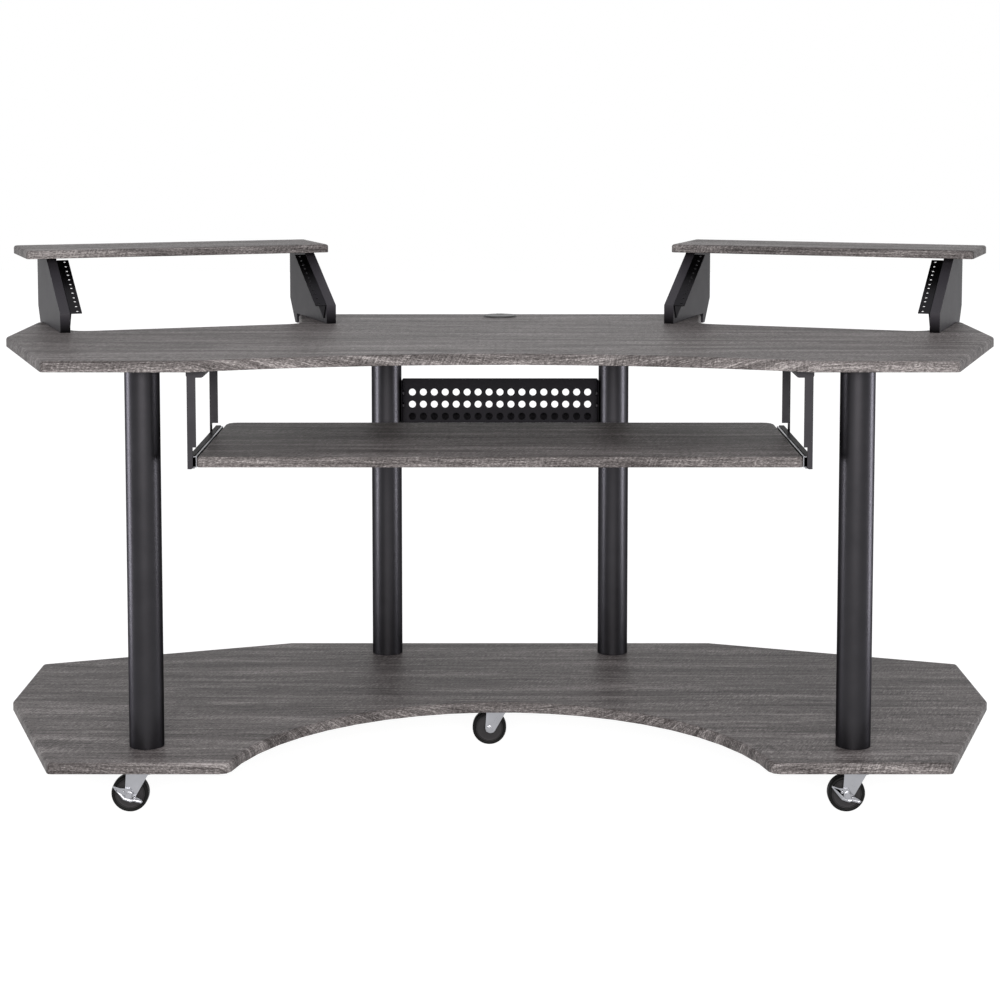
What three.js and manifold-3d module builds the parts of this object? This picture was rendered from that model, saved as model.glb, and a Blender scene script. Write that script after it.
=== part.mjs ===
// Studio desk on casters: two trapezoid boards on four round columns, a riser with an angled
// four unit rack on each wing, a sliding keyboard tray and a perforated cable trough.
// Millimetres, +Z up. The plan is drawn with the rear edge of the boards on y = 0 and the front
// towards -y, and the finished desk is shifted so that the origin is the middle of its footprint.
import * as THREE from 'three';
import { mergeVertices } from 'three/addons/utils/BufferGeometryUtils.js';
import Module from 'manifold-3d';

const wasm = await Module();
wasm.setup();

// Fits
const seatGap = 0.3;
const overrun = 2;

// Board outline in plan
const halfWidth = 904;
const deskDepth = 839;
const wingWidth = 476;
const sideFront = 444;
const wingAngle = THREE.MathUtils.degToRad(20);
const boardCornerRadius = 8;
const mouthRadius = 20;
const deskArcHalf = 517;
const deskArcDepth = 107;
const shelfArcHalf = 456;
const shelfArcDepth = 379;

// Boards in height
const boardThickness = 19;
const boardEdge = 3;
const shelfBottom = 80;
const deskTop = 778;

// Columns
const columnRadius = 30;
const columnWall = 2;
const columnPlate = 4;
const frontColumnSide = 151.2;
const frontColumnInset = 107;
const rearColumnX = 227;
const rearColumnInset = 78;
const tieRodRadius = 4;
const tieRodHeadRadius = 7;
const tieRodHeadHeight = 5;
const tieRodDepth = 12;

// Rack: four units between two rails, sloping down to the player
const rackUnits = 4;
const unitHeight = 44.45;
const holeStep = 15.875;
const holesPerUnit = 3;
const firstHole = 6.35;
const railSpacing = 465.1;
const rackHoleRadius = 2.4;
const rackSlope = THREE.MathUtils.degToRad(30);
const rackSideInset = 67.3;
const rackInset = 231.3;
const rackRise = 122;
const railFreeEdge = 8;
const railDepth = 31;
const railSheet = 2;
const railScrew = { shank: 2, length: 14, head: 3.6, headHeight: 2 };
const railScrewEnd = 24;
const railScrewDepth = 11;

// Risers: a shelf on two side panels, drawn along the rack from its outer hole line
const riserClearance = 10;
const riserThickness = 16;
const riserEdge = 2;
const riserCornerRadius = 6;
const riserOuterOverhang = 79;
const riserInnerOverhang = 46;
const riserRear = 132;
const riserFront = 53;
const panelThickness = 19;
const panelOffset = 14;
const panelEdge = 1;
const panelChamferTop = 48;
const panelLip = 14;
const panelScrew = { shank: 3, length: 47, head: 6, headHeight: 3 };
const panelScrewInset = 38;
const dowelRadius = 4;
const dowelDepth = 12;
const dowelInset = 32;

// Notch in the desktop under each rack
const notchFront = 122;
const notchOuter = 5;
const notchFrontInset = 17.4;
const notchRearInset = 36.4;
const notchRadius = 35;
const notchRearRadius = 6;

// Cable trough between the rear columns
const troughTop = 653;
const troughHeight = 97;
const troughDepth = 60;
const troughLip = 24;
const troughHem = 9;
const troughSheet = 1.5;
const troughSetback = 15;
const troughTab = 30;
const troughTabRadius = 6;
const troughHoleRadius = 7;
const troughHolePitch = 22;
const troughRowPitch = 24.5;
const troughColumns = 17;
const troughRows = 3;
const troughRowDrop = 27;
const troughBolt = { shank: 3, length: 8, head: 6, headHeight: 3.5 };

// Keyboard tray
const trayFromColumns = 99;
const trayTop = 610;
const trayThickness = 18;
const trayFront = 788;
const trayDepth = 412;
const trayEdge = 2;
const trayFrontRadius = 5;
const trayRearRadius = 22;
const slideLength = 356;
const slideHeight = 22;
const slideSheet = 1.2;
const slideLip = 9.5;
const slideInnerDepth = 5.8;
const slideRunGap = 0.4;

// Tray hangers
const postWidth = 15;
const postDepth = 20;
const postSheet = 2;
const postSpacing = 289;
const postDrop = 12;
const postNeck = 9.1;
const postNeckRise = 16;
const postTipRadius = 3;
const hangerRailWidth = 30;
const hangerRailHeight = 15;
const hangerRailOuter = 1.2;
const hangerRailWall = 1.5;
const hangerRailRadius = 4;
const hangerScrew = { shank: 2.2, length: 27, head: 4.5, headHeight: 2.5 };
const hangerScrewShares = [0.16, 0.5, 0.84];

// Cable grommet
const grommetInset = 56;
const grommetBore = 30;
const grommetFlange = 34;
const grommetRise = 3;
const grommetWall = 2.6;
const grommetRecess = 2;
const grommetLedge = 1.2;
const grommetDepth = 17;
const capThickness = 1.7;
const capRadius = 30.5;
const capSkirt = 8;
const capSlotWidth = 15;
const capSlotDepth = 15;

// Casters
const wheelRadius = 31.75;
const wheelWidth = 22;
const treadWidth = 16;
const treadDrop = 3.2;
const sideDish = 1;
const hubRadius = 11;
const hubWidth = 26.4;
const axleRadius = 4;
const axleHeadRadius = 6.5;
const axleHeadHeight = 4;
const axleNutHeight = 5;
const casterTrail = 20;
const forkSheet = 2.2;
const crownHalfLength = 25;
const crownTop = 71.5;
const crownSheet = 2.5;
const crownRadius = 8;
const bossRadius = 8;
const legShoulder = { x: 12, z: 66, radius: 3 };
const legCrownDrop = 3;
const padLength = 92;
const padWidth = 60;
const padSheet = 2.5;
const padRadius = 6;
const padHoleLength = 76;
const padHoleWidth = 44;
const kingpinRadius = 5;
const kingpinHeadRadius = 8;
const kingpinHeadHeight = 2.7;
const raceRadius = 23;
const raceBevel = 3;
const casterScrew = { shank: 2.5, length: 16, head: 5, headHeight: 3 };
const leverLength = 56;
const leverSheet = 1.6;
const leverRim = 4;
const leverRimSheet = 1.4;
const leverHubRadius = 8.5;
const frontCasterInset = 58;
const frontCasterSide = 150.2;
const middleCasterInset = 78;
const rearCasterSide = 214;
const rearCasterInset = 190;

// Lever outline as shares of its length, from the axle, x along the desk and z up
const leverShares = [
  [-0.52, 0.31], [-0.26, 0.225], [0.02, 0.21], [0.15, 0.01], [0.28, -0.09], [0.43, -0.185],
  [0.37, -0.245], [0.14, -0.185], [0.04, -0.205], [-0.17, -0.135], [-0.38, 0.12],
];
const leverTipShare = 0.02;

// Facets: the arc that one step of a rounded corner spans, and the sides of round forms
const cornerStep = 11;
const fewestCornerSteps = 2;
const legSteps = 2;
const mouthSteps = 11;
const columnSides = 32;
const columnInnerSides = 16;
const holeSides = 8;
const screwSides = 6;
const wheelSides = 20;
const raceSides = 10;
const axleSides = 8;
const grommetSides = 18;

// Heights and places that follow from the sizes above
const shelfTop = shelfBottom + boardThickness;
const deskBottom = deskTop - boardThickness;
const rearHalf = halfWidth - wingWidth;
const wingRear = wingWidth * Math.tan(wingAngle);
const frontCornerX = halfWidth - (deskDepth - sideFront) * Math.tan(wingAngle);
const frontColumnX = frontCornerX - frontColumnSide;
const rackOuterX = halfWidth - rackSideInset;
const rackTop = deskTop + rackRise;
const riserBottom = rackTop + riserClearance;
const rackLength = (rackUnits - 1) * unitHeight + (holesPerUnit - 1) * holeStep;
const railLength = rackUnits * unitHeight;
const panelFoot = (rackLength + firstHole) * Math.cos(rackSlope);
const wingEdge = rackInset * Math.cos(wingAngle) - (rackOuterX - rearHalf) * Math.sin(wingAngle);
const troughBottom = troughTop - troughHeight;
const troughHalf = rearColumnX - columnRadius - seatGap;
const troughWallY = troughSetback - rearColumnInset;
const trayHalfWidth = frontColumnX - trayFromColumns;
const trayBottom = trayTop - trayThickness;
const trayMiddle = trayTop - trayThickness / 2;
const slideInnerX = trayHalfWidth + seatGap;
const postInnerX = slideInnerX + seatGap;
const postOuterX = postInnerX + postWidth;
const slideWebX = postOuterX - postSheet - seatGap;
const slideFront = trayFront - postSheet - seatGap;
const hangerRailBottom = deskBottom - hangerRailHeight;
const legHalf = hubWidth / 2 + seatGap;
const capSkirtRadius = grommetBore - 2 * seatGap - grommetWall - grommetLedge;

// Finishes
const finishes = {
  oak: { color: 0x85796d, roughness: 0.62, metalness: 0 },
  charcoal: { color: 0x4b494c, roughness: 0.55, metalness: 0.1 },
  blackSteel: { color: 0x232325, roughness: 0.42, metalness: 0.35 },
  zinc: { color: 0xb4b7ba, roughness: 0.34, metalness: 0.9 },
  rubber: { color: 0x262527, roughness: 0.75, metalness: 0 },
  plastic: { color: 0x17171a, roughness: 0.45, metalness: 0 },
};

// Solids and booleans

function welded(geometry) {
  const bare = new THREE.BufferGeometry();
  bare.setAttribute('position', geometry.getAttribute('position').clone());
  if (geometry.index) bare.setIndex(geometry.index.clone());
  const joined = mergeVertices(bare);
  const corners = joined.index.array;
  const kept = [];
  for (let i = 0; i < corners.length; i += 3) {
    const [a, b, c] = [corners[i], corners[i + 1], corners[i + 2]];
    if (a !== b && b !== c && c !== a) kept.push(a, b, c);
  }
  joined.setIndex(kept);
  return joined;
}

function toSolid(geometry) {
  const clean = welded(geometry);
  return new wasm.Manifold(new wasm.Mesh({
    numProp: 3,
    vertProperties: Float32Array.from(clean.getAttribute('position').array),
    triVerts: Uint32Array.from(clean.index.array),
  }));
}

function toGeometry(solid) {
  const { vertProperties, triVerts } = solid.getMesh();
  const geometry = new THREE.BufferGeometry();
  geometry.setAttribute('position', new THREE.BufferAttribute(Float32Array.from(vertProperties), 3));
  geometry.setIndex(Array.from(triVerts));
  geometry.computeVertexNormals();
  return geometry;
}

function cut(base, tools) {
  return toGeometry(tools.reduce((solid, tool) => solid.subtract(toSolid(tool)), toSolid(base)));
}

function join(parts) {
  return toGeometry(parts.map(toSolid).reduce((solid, part) => solid.add(part)));
}

// Outlines and basic forms

// Corners are [x, y, radius], and a corner without a radius stays sharp
function roundedOutline(corners, fewestSteps = fewestCornerSteps) {
  const points = [];
  corners.forEach(([x, y, radius = 0], index) => {
    const here = new THREE.Vector2(x, y);
    if (radius === 0) {
      points.push(here);
      return;
    }
    const [beforeX, beforeY] = corners.at(index - 1);
    const [afterX, afterY] = corners[(index + 1) % corners.length];
    const before = new THREE.Vector2(beforeX, beforeY).sub(here).normalize();
    const after = new THREE.Vector2(afterX, afterY).sub(here).normalize();
    const halfAngle = Math.acos(before.dot(after)) / 2;
    const toCentre = before.clone().add(after).normalize().multiplyScalar(radius / Math.sin(halfAngle));
    const centre = here.clone().add(toCentre);
    const start = before.clone().multiplyScalar(radius / Math.tan(halfAngle)).add(here).sub(centre);
    const turn = Math.sign(after.cross(before)) * (Math.PI - 2 * halfAngle);
    const steps = Math.max(fewestSteps, Math.round((radius * Math.abs(turn)) / cornerStep));
    for (let step = 0; step <= steps; step += 1) {
      const arm = start.clone().rotateAround(new THREE.Vector2(), (turn * step) / steps);
      points.push(arm.add(centre));
    }
  });
  return points;
}

function rectangle(x0, y0, x1, y1, radius = 0) {
  return roundedOutline([[x0, y0, radius], [x1, y0, radius], [x1, y1, radius], [x0, y1, radius]]);
}

function wound(points, clockwise) {
  return THREE.ShapeUtils.isClockWise(points) === clockwise ? points : [...points].reverse();
}

// A plate from z = 0 up, with rounded edges where edge is given
function slab(outline, thickness, edge = 0, holes = []) {
  const shape = new THREE.Shape(wound(outline, false));
  shape.holes = holes.map((points) => new THREE.Path(wound(points, true)));
  const geometry = new THREE.ExtrudeGeometry(shape, {
    depth: thickness - 2 * edge,
    bevelEnabled: edge > 0,
    bevelThickness: edge,
    bevelSize: edge,
    bevelOffset: -edge,
    bevelSegments: 1,
  });
  return geometry.translate(0, 0, edge);
}

// A plate drawn in y and z that grows along +x
function acrossX(outline, thickness, holes = []) {
  const turned = new THREE.Matrix4().makeBasis(
    new THREE.Vector3(0, 1, 0),
    new THREE.Vector3(0, 0, 1),
    new THREE.Vector3(1, 0, 0),
  );
  return slab(outline, thickness, 0, holes).applyMatrix4(turned);
}

// A plate drawn in x and z that grows along +y
function acrossY(outline, thickness, holes = []) {
  return slab(outline, thickness, 0, holes).rotateX(Math.PI / 2).translate(0, thickness, 0);
}

// A form turned about y from [radius, y] points that run anticlockwise
function turnedAboutY(profile, count, start = 0) {
  const points = profile.map(([radius, y]) => new THREE.Vector2(radius, y));
  return new THREE.LatheGeometry(points, count, start);
}

function turned(profile, count) {
  return turnedAboutY(profile, count).rotateX(Math.PI / 2);
}

function rod(radius, length, count = holeSides) {
  return new THREE.CylinderGeometry(radius, radius, length, count)
    .rotateX(Math.PI / 2)
    .translate(0, 0, length / 2);
}

// The corner radius of a faceted hole whose flats still clear a round piece that turns in it
function clearOf(radius, count) {
  return (radius + seatGap) / Math.cos(Math.PI / count);
}

// Fasteners: a set has one size and a list of places, each the middle of the seat under the head
// and the direction in which the head stands out. They are part of the piece that they hold, and
// the piece that they enter is bored for them

function aimed(geometry, { at, out }) {
  const turn = new THREE.Quaternion().setFromUnitVectors(new THREE.Vector3(0, 0, 1), out);
  return geometry.applyQuaternion(turn).translate(...at);
}

function screw({ shank, length, head, headHeight }) {
  return turned([
    [0, -length], [shank, -length], [shank, 0], [head, 0], [head, headHeight], [0, headHeight],
  ], screwSides);
}

function screws({ size, places }) {
  return places.map((place) => aimed(screw(size), place));
}

function bores({ size, places }) {
  const radius = size.shank + seatGap;
  const length = size.length + seatGap + overrun;
  const bore = rod(radius, length, screwSides).translate(0, 0, overrun - length);
  return places.map((place) => aimed(bore.clone(), place));
}

function shifted(geometries, x, y, z) {
  return geometries.map((geometry) => geometry.clone().translate(x, y, z));
}

const down = new THREE.Vector3(0, 0, -1);
const sides = [['left', 1], ['right', -1]];

// Risers are built in their own frame: x runs along the rack from its outer hole line towards the
// middle of the desk (towards -x on the right wing), -y is forward and z is height above the floor

function riserMatrix(side) {
  const matrix = new THREE.Matrix4().makeRotationZ(side * wingAngle);
  return matrix.setPosition(-side * rackOuterX, -rackInset, 0);
}

function fromRiser(along, forward, side) {
  return new THREE.Vector3(side * along, -forward, 0).applyMatrix4(riserMatrix(side));
}

// Boards

function mouth(arcHalf, arcDepth) {
  const radius = (arcHalf ** 2 + arcDepth ** 2) / (2 * arcDepth);
  const centreY = arcDepth - radius - deskDepth;
  const spread = Math.asin(arcHalf / radius);
  const points = [];
  for (let step = 0; step < mouthSteps; step += 1) {
    const angle = spread * (1 - (2 * step) / (2 * mouthSteps - 1));
    const corner = step === 0 ? mouthRadius : 0;
    points.push([radius * Math.sin(angle), centreY + radius * Math.cos(angle), corner]);
  }
  return points;
}

function boardOutline(rearCorners, frontCorners) {
  const half = [
    ...rearCorners,
    [halfWidth, -wingRear, boardCornerRadius],
    [halfWidth, -sideFront, boardCornerRadius],
    [frontCornerX, -deskDepth, boardCornerRadius],
    ...frontCorners,
  ];
  const otherHalf = half.map(([x, y, radius]) => [-x, y, radius]).reverse();
  return roundedOutline([...half, ...otherHalf]);
}

function notchCorners() {
  const front = fromRiser(-notchOuter, notchFront, -1);
  const rear = fromRiser(-notchOuter, -wingEdge, -1);
  const innerX = railSpacing - notchFrontInset;
  const innerAlong = innerX / Math.cos(wingAngle) - notchFront * Math.tan(wingAngle);
  const inner = fromRiser(innerAlong, notchFront, -1);
  return [
    [rackOuterX - railSpacing + notchRearInset, 0, notchRearRadius],
    [inner.x, inner.y, notchRadius],
    [front.x, front.y, notchRadius],
    [rear.x, rear.y, notchRearRadius],
  ];
}

const grommetY = -grommetInset;

function desktop(boreTools) {
  const outline = boardOutline(notchCorners(), mouth(deskArcHalf, deskArcDepth));
  const board = slab(outline, boardThickness, boardEdge).translate(0, 0, deskBottom);
  const grommetHole = rod(grommetBore, boardThickness + 2 * overrun, grommetSides)
    .translate(0, grommetY, deskBottom - overrun);
  return cut(board, [grommetHole, ...boreTools]);
}

function bottomShelf(boreTools) {
  const outline = boardOutline([[rearHalf, 0, boardCornerRadius]], mouth(shelfArcHalf, shelfArcDepth));
  const board = slab(outline, boardThickness, boardEdge).translate(0, 0, shelfBottom);
  return cut(board, boreTools);
}

// Columns

const columnPlaces = [
  { name: 'front_left', x: -frontColumnX, y: frontColumnInset - deskDepth, rear: false },
  { name: 'front_right', x: frontColumnX, y: frontColumnInset - deskDepth, rear: false },
  { name: 'rear_left', x: -rearColumnX, y: -rearColumnInset, rear: true },
  { name: 'rear_right', x: rearColumnX, y: -rearColumnInset, rear: true },
];

// A tube with a welded plate in each end, bored for its tie rod
function column(boreTools) {
  const height = deskBottom - shelfTop;
  const hollow = rod(columnRadius - columnWall, height - 2 * columnPlate, columnInnerSides)
    .translate(0, 0, columnPlate);
  const bore = rod(tieRodRadius + seatGap, height + 2 * overrun, axleSides).translate(0, 0, -overrun);
  return cut(rod(columnRadius, height, columnSides), [hollow, bore, ...boreTools]);
}

// A rod runs through each column, from its head under the bottom shelf into the desktop
function tieRod() {
  const bottom = shelfBottom - tieRodHeadHeight;
  return turned([
    [0, bottom], [tieRodHeadRadius, bottom], [tieRodHeadRadius, shelfBottom], [tieRodRadius, shelfBottom],
    [tieRodRadius, deskBottom + tieRodDepth], [0, deskBottom + tieRodDepth],
  ], axleSides);
}

function tieRodBores(bottom, top) {
  return columnPlaces.map(({ x, y }) => rod(tieRodRadius + seatGap, top - bottom, axleSides)
    .translate(x, y, bottom));
}

// Riser pieces in the riser frame

const panelSpots = [
  { name: 'outer', along: -panelOffset - panelThickness, rail: 0, inward: 1 },
  { name: 'inner', along: railSpacing + panelOffset, rail: railSpacing, inward: -1 },
];

function panelOutline() {
  const rackAt = (forward) => rackTop - forward * Math.tan(rackSlope);
  const slopeTop = (rackTop - riserBottom) / Math.tan(rackSlope);
  const lipFront = wingEdge + seatGap;
  return roundedOutline([
    [riserRear, riserBottom, 0],
    [riserRear, deskBottom + panelChamferTop, panelEdge],
    [lipFront + panelLip, deskBottom, panelEdge],
    [lipFront, deskBottom, panelEdge],
    [lipFront, deskTop, 0],
    [-panelFoot, deskTop, 0],
    [-panelFoot, rackAt(panelFoot), panelEdge],
    [-slopeTop, riserBottom, 0],
  ], 1);
}

function panelMiddle(spot, side) {
  return side * (spot.along + panelThickness / 2);
}

const panelScrewSpots = [
  { name: 'front', forward: panelFoot - panelScrewInset },
  { name: 'rear', forward: panelScrewInset - wingEdge },
];

function panelScrewSet(spot, side) {
  return {
    size: panelScrew,
    places: panelScrewSpots.map(({ forward }) => ({
      at: [panelMiddle(spot, side), -forward, deskBottom],
      out: down,
    })),
  };
}

// Dowels stand on the panels and enter the riser shelf, and gap widens them into their bores
function dowels(spot, side, gap) {
  const slopeTop = (rackTop - riserBottom) / Math.tan(rackSlope);
  const forwards = [-slopeTop - dowelInset, dowelInset - riserRear];
  return forwards.map((forward) => rod(dowelRadius + gap, 2 * (dowelDepth + gap), screwSides)
    .translate(panelMiddle(spot, side), -forward, riserBottom - dowelDepth - gap));
}

function inRack(geometry) {
  return geometry.rotateX(rackSlope).translate(0, 0, rackTop);
}

function railScrews(spot, side) {
  const insideFace = spot.rail - spot.inward * (panelOffset - seatGap - railSheet);
  const downs = [railScrewEnd, rackLength - railScrewEnd];
  return {
    size: railScrew,
    places: downs.map((distance) => ({
      at: [side * insideFace, -distance, -railScrewDepth],
      out: new THREE.Vector3(side * spot.inward, 0, 0),
    })),
  };
}

function rackRail(spot, side) {
  const across = side * spot.inward;
  const wall = seatGap - panelOffset;
  const section = [
    [wall, 0], [railFreeEdge, 0], [railFreeEdge, -railSheet], [wall + railSheet, -railSheet],
    [wall + railSheet, -railDepth], [wall, -railDepth],
  ].map(([x, z]) => new THREE.Vector2(across * x, z));
  const bar = acrossY(section, railLength).translate(0, firstHole - railLength, 0);
  const holes = [];
  for (let unit = 0; unit < rackUnits; unit += 1) {
    for (let hole = 0; hole < holesPerUnit; hole += 1) {
      const distance = unit * unitHeight + hole * holeStep;
      holes.push(rod(rackHoleRadius, railSheet + 2 * overrun)
        .translate(0, -distance, -railSheet - overrun));
    }
  }
  const drilled = cut(bar, holes).translate(side * spot.rail, 0, 0);
  return inRack(join([drilled, ...screws(railScrews(spot, side))]));
}

function sidePanel(spot, side) {
  const start = side > 0 ? spot.along : -spot.along - panelThickness;
  const board = acrossX(panelOutline(), panelThickness).translate(start, 0, 0);
  const railBores = bores(railScrews(spot, side)).map(inRack);
  return cut(join([board, ...dowels(spot, side, 0)]), [...bores(panelScrewSet(spot, side)), ...railBores]);
}

function riserShelf(side) {
  const x0 = side * -riserOuterOverhang;
  const x1 = side * (railSpacing + riserInnerOverhang);
  const outline = rectangle(Math.min(x0, x1), -riserFront, Math.max(x0, x1), riserRear, riserCornerRadius);
  const board = slab(outline, riserThickness, riserEdge).translate(0, 0, riserBottom);
  return cut(board, panelSpots.flatMap((spot) => dowels(spot, side, seatGap)));
}

// Cable trough

function troughSection() {
  const rear = troughWallY + troughDepth;
  const floor = troughBottom + troughSheet;
  return [
    [troughWallY, troughTop], [troughWallY + troughHem, troughTop],
    [troughWallY + troughHem, troughTop - troughSheet],
    [troughWallY + troughSheet, troughTop - troughSheet],
    [troughWallY + troughSheet, floor], [rear - troughSheet, floor],
    [rear - troughSheet, troughBottom + troughLip], [rear, troughBottom + troughLip],
    [rear, troughBottom], [troughWallY, troughBottom],
  ].map(([y, z]) => new THREE.Vector2(y, z));
}

function troughRowHeight(row) {
  return troughTop - troughRowDrop - row * troughRowPitch;
}

const troughBolts = {
  size: troughBolt,
  places: sides.flatMap(([, side]) => [0, 1].map((row) => ({
    at: [-side * (troughHalf - troughSheet), -rearColumnInset, troughRowHeight(row)],
    out: new THREE.Vector3(side, 0, 0),
  }))),
};

function cableTrough() {
  const channel = acrossX(troughSection(), 2 * troughHalf).translate(-troughHalf, 0, 0);
  const tabFront = -rearColumnInset - troughTab / 2;
  const tabRear = troughWallY + troughSheet;
  const tabOutline = roundedOutline([
    [tabFront, troughBottom, troughTabRadius], [tabRear, troughBottom],
    [tabRear, troughTop], [tabFront, troughTop, troughTabRadius],
  ]);
  const tabs = [-troughHalf, troughHalf - troughSheet]
    .map((x) => acrossX(tabOutline, troughSheet).translate(x, 0, 0));
  const holes = [];
  for (let row = 0; row < troughRows; row += 1) {
    for (let index = 0; index < troughColumns; index += 1) {
      const x = (index - (troughColumns - 1) / 2) * troughHolePitch;
      holes.push(rod(troughHoleRadius, troughSheet + 2 * overrun)
        .rotateX(-Math.PI / 2)
        .translate(x, troughWallY - overrun, troughRowHeight(row)));
    }
  }
  return cut(join([channel, ...tabs, ...screws(troughBolts)]), holes);
}

// Keyboard tray, its slides and its hangers. The left side has side = 1, as on the risers

const trayRear = trayFront - trayDepth;

function hangerScrews(side) {
  return {
    size: hangerScrew,
    places: hangerScrewShares.map((share) => ({
      at: [
        -side * (postOuterX + hangerRailOuter - hangerRailWidth / 2),
        share * (postSpacing + postDepth) - trayFront,
        hangerRailBottom,
      ],
      out: down,
    })),
  };
}

function keyboardTray() {
  const outline = roundedOutline([
    [-trayHalfWidth, -trayFront, trayFrontRadius], [trayHalfWidth, -trayFront, trayFrontRadius],
    [trayHalfWidth, -trayRear, trayRearRadius], [-trayHalfWidth, -trayRear, trayRearRadius],
  ]);
  return slab(outline, trayThickness, trayEdge).translate(0, 0, trayBottom);
}

// A channel with its web at x = 0 and its open side towards +x
function channelSection(depth, halfHeight) {
  return [
    [0, -halfHeight], [depth, -halfHeight], [depth, slideSheet - halfHeight],
    [slideSheet, slideSheet - halfHeight], [slideSheet, halfHeight - slideSheet],
    [depth, halfHeight - slideSheet], [depth, halfHeight], [0, halfHeight],
  ];
}

function slideMember(section) {
  const outline = section.map(([x, z]) => new THREE.Vector2(x, z + trayMiddle));
  return acrossY(outline, slideLength).translate(0, -slideFront, 0);
}

function slideOuter(side) {
  const section = channelSection(slideLip, slideHeight / 2);
  return slideMember(section.map(([x, z]) => [side * (x - slideWebX), z]));
}

function slideInner(side) {
  const section = channelSection(slideInnerDepth, slideHeight / 2 - slideSheet - slideRunGap);
  return slideMember(section.map(([x, z]) => [-side * (slideInnerX + x), z]));
}

function hangerPost(side, back, frontNeck) {
  const postBottom = trayMiddle - postDrop;
  const postTop = hangerRailBottom + hangerRailWall / 2;
  const neckTop = trayTop + postNeckRise;
  const face = frontNeck
    ? [
      [postOuterX, postTop], [postOuterX, postBottom, postTipRadius],
      [postOuterX - postNeck, postBottom, postTipRadius], [postOuterX - postNeck, neckTop],
      [postInnerX, neckTop], [postInnerX, postTop],
    ]
    : [[postOuterX, postTop], [postOuterX, neckTop], [postInnerX, neckTop], [postInnerX, postTop]];
  const faceOutline = roundedOutline(face.map(([x, z, radius]) => [-side * x, z, radius]));
  const faceLeg = acrossY(faceOutline, postSheet).translate(0, back - trayFront, 0);
  const sideOutline = roundedOutline([
    [0, postTop], [0, postBottom], [postDepth, postBottom, postTipRadius], [postDepth, postTop],
  ]);
  const start = side > 0 ? -postOuterX : postOuterX - postSheet;
  const sideLeg = acrossX(sideOutline, postSheet).translate(start, back - trayFront, 0);
  return [faceLeg, sideLeg];
}

function trayHanger(side) {
  const outer = postOuterX + hangerRailOuter;
  const inner = outer - hangerRailWidth;
  const length = postSpacing + postDepth;
  const tube = (inset) => roundedOutline([
    [-side * (outer - inset), deskBottom - inset], [-side * (inner + inset), deskBottom - inset],
    [-side * (inner + inset), hangerRailBottom + inset, hangerRailRadius - inset],
    [-side * (outer - inset), hangerRailBottom + inset, hangerRailRadius - inset],
  ]);
  const rail = acrossY(tube(0), length, [tube(hangerRailWall)]).translate(0, -trayFront, 0);
  const cap = acrossY(tube(hangerRailWall / 2), hangerRailWall).translate(0, -trayFront, 0);
  const posts = [...hangerPost(side, 0, true), ...hangerPost(side, postSpacing, false)];
  return join([rail, cap, ...posts, ...screws(hangerScrews(side))]);
}

// Cable grommet

function grommetLiner() {
  const outer = grommetBore - seatGap;
  const inner = outer - grommetWall;
  const recess = clearOf(capRadius, grommetSides);
  const ledge = clearOf(capSkirtRadius, grommetSides);
  return turned([
    [inner, -grommetDepth], [outer, -grommetDepth], [outer, 0], [grommetFlange, 0],
    [grommetFlange - grommetRise / 2, grommetRise], [recess, grommetRise],
    [recess, grommetRise - grommetRecess], [ledge, grommetRise - grommetRecess],
    [ledge, 0], [inner, 0], [inner, -grommetDepth],
  ], grommetSides).translate(0, grommetY, deskTop);
}

function grommetCap() {
  const bottom = grommetRise - grommetRecess + seatGap;
  const top = bottom + capThickness;
  const skirtInner = capSkirtRadius - grommetWall / 2;
  const disc = turned([
    [0, bottom], [skirtInner, bottom], [skirtInner, bottom - capSkirt],
    [capSkirtRadius, bottom - capSkirt], [capSkirtRadius, bottom], [capRadius, bottom],
    [capRadius, top - capThickness / 2],
    [capRadius - capThickness / 2, top], [0, top],
  ], grommetSides);
  const slot = slab(roundedOutline([
    [-capSlotWidth / 2, capRadius - capSlotDepth, capSlotWidth / 2 - seatGap],
    [capSlotWidth / 2, capRadius - capSlotDepth, capSlotWidth / 2 - seatGap],
    [capSlotWidth / 2, capRadius + overrun], [-capSlotWidth / 2, capRadius + overrun],
  ]), capSkirt + capThickness + 2 * overrun).translate(0, 0, bottom - capSkirt - overrun);
  return cut(disc, [slot]).translate(0, grommetY, deskTop);
}

// Casters, each in its own frame: the swivel axis is x = y = 0, the floor is z = 0 and the wheel
// trails towards -x

const frontCasterX = frontCornerX - frontCasterSide;
const rearCasterX = halfWidth - rearCasterSide;
const casters = [
  { name: 'front_left', x: -frontCasterX, y: frontCasterInset - deskDepth, brake: true },
  { name: 'front_right', x: frontCasterX, y: frontCasterInset - deskDepth, brake: true },
  { name: 'middle', x: 0, y: shelfArcDepth + middleCasterInset - deskDepth, brake: false },
  { name: 'rear_left', x: -rearCasterX, y: -rearCasterInset, brake: false },
  { name: 'rear_right', x: rearCasterX, y: -rearCasterInset, brake: false },
];

const casterScrews = {
  size: casterScrew,
  places: [-1, 1].flatMap((along) => [-1, 1].map((across) => ({
    at: [(along * padHoleLength) / 2, (across * padHoleWidth) / 2, shelfBottom - padSheet],
    out: down,
  }))),
};

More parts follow.
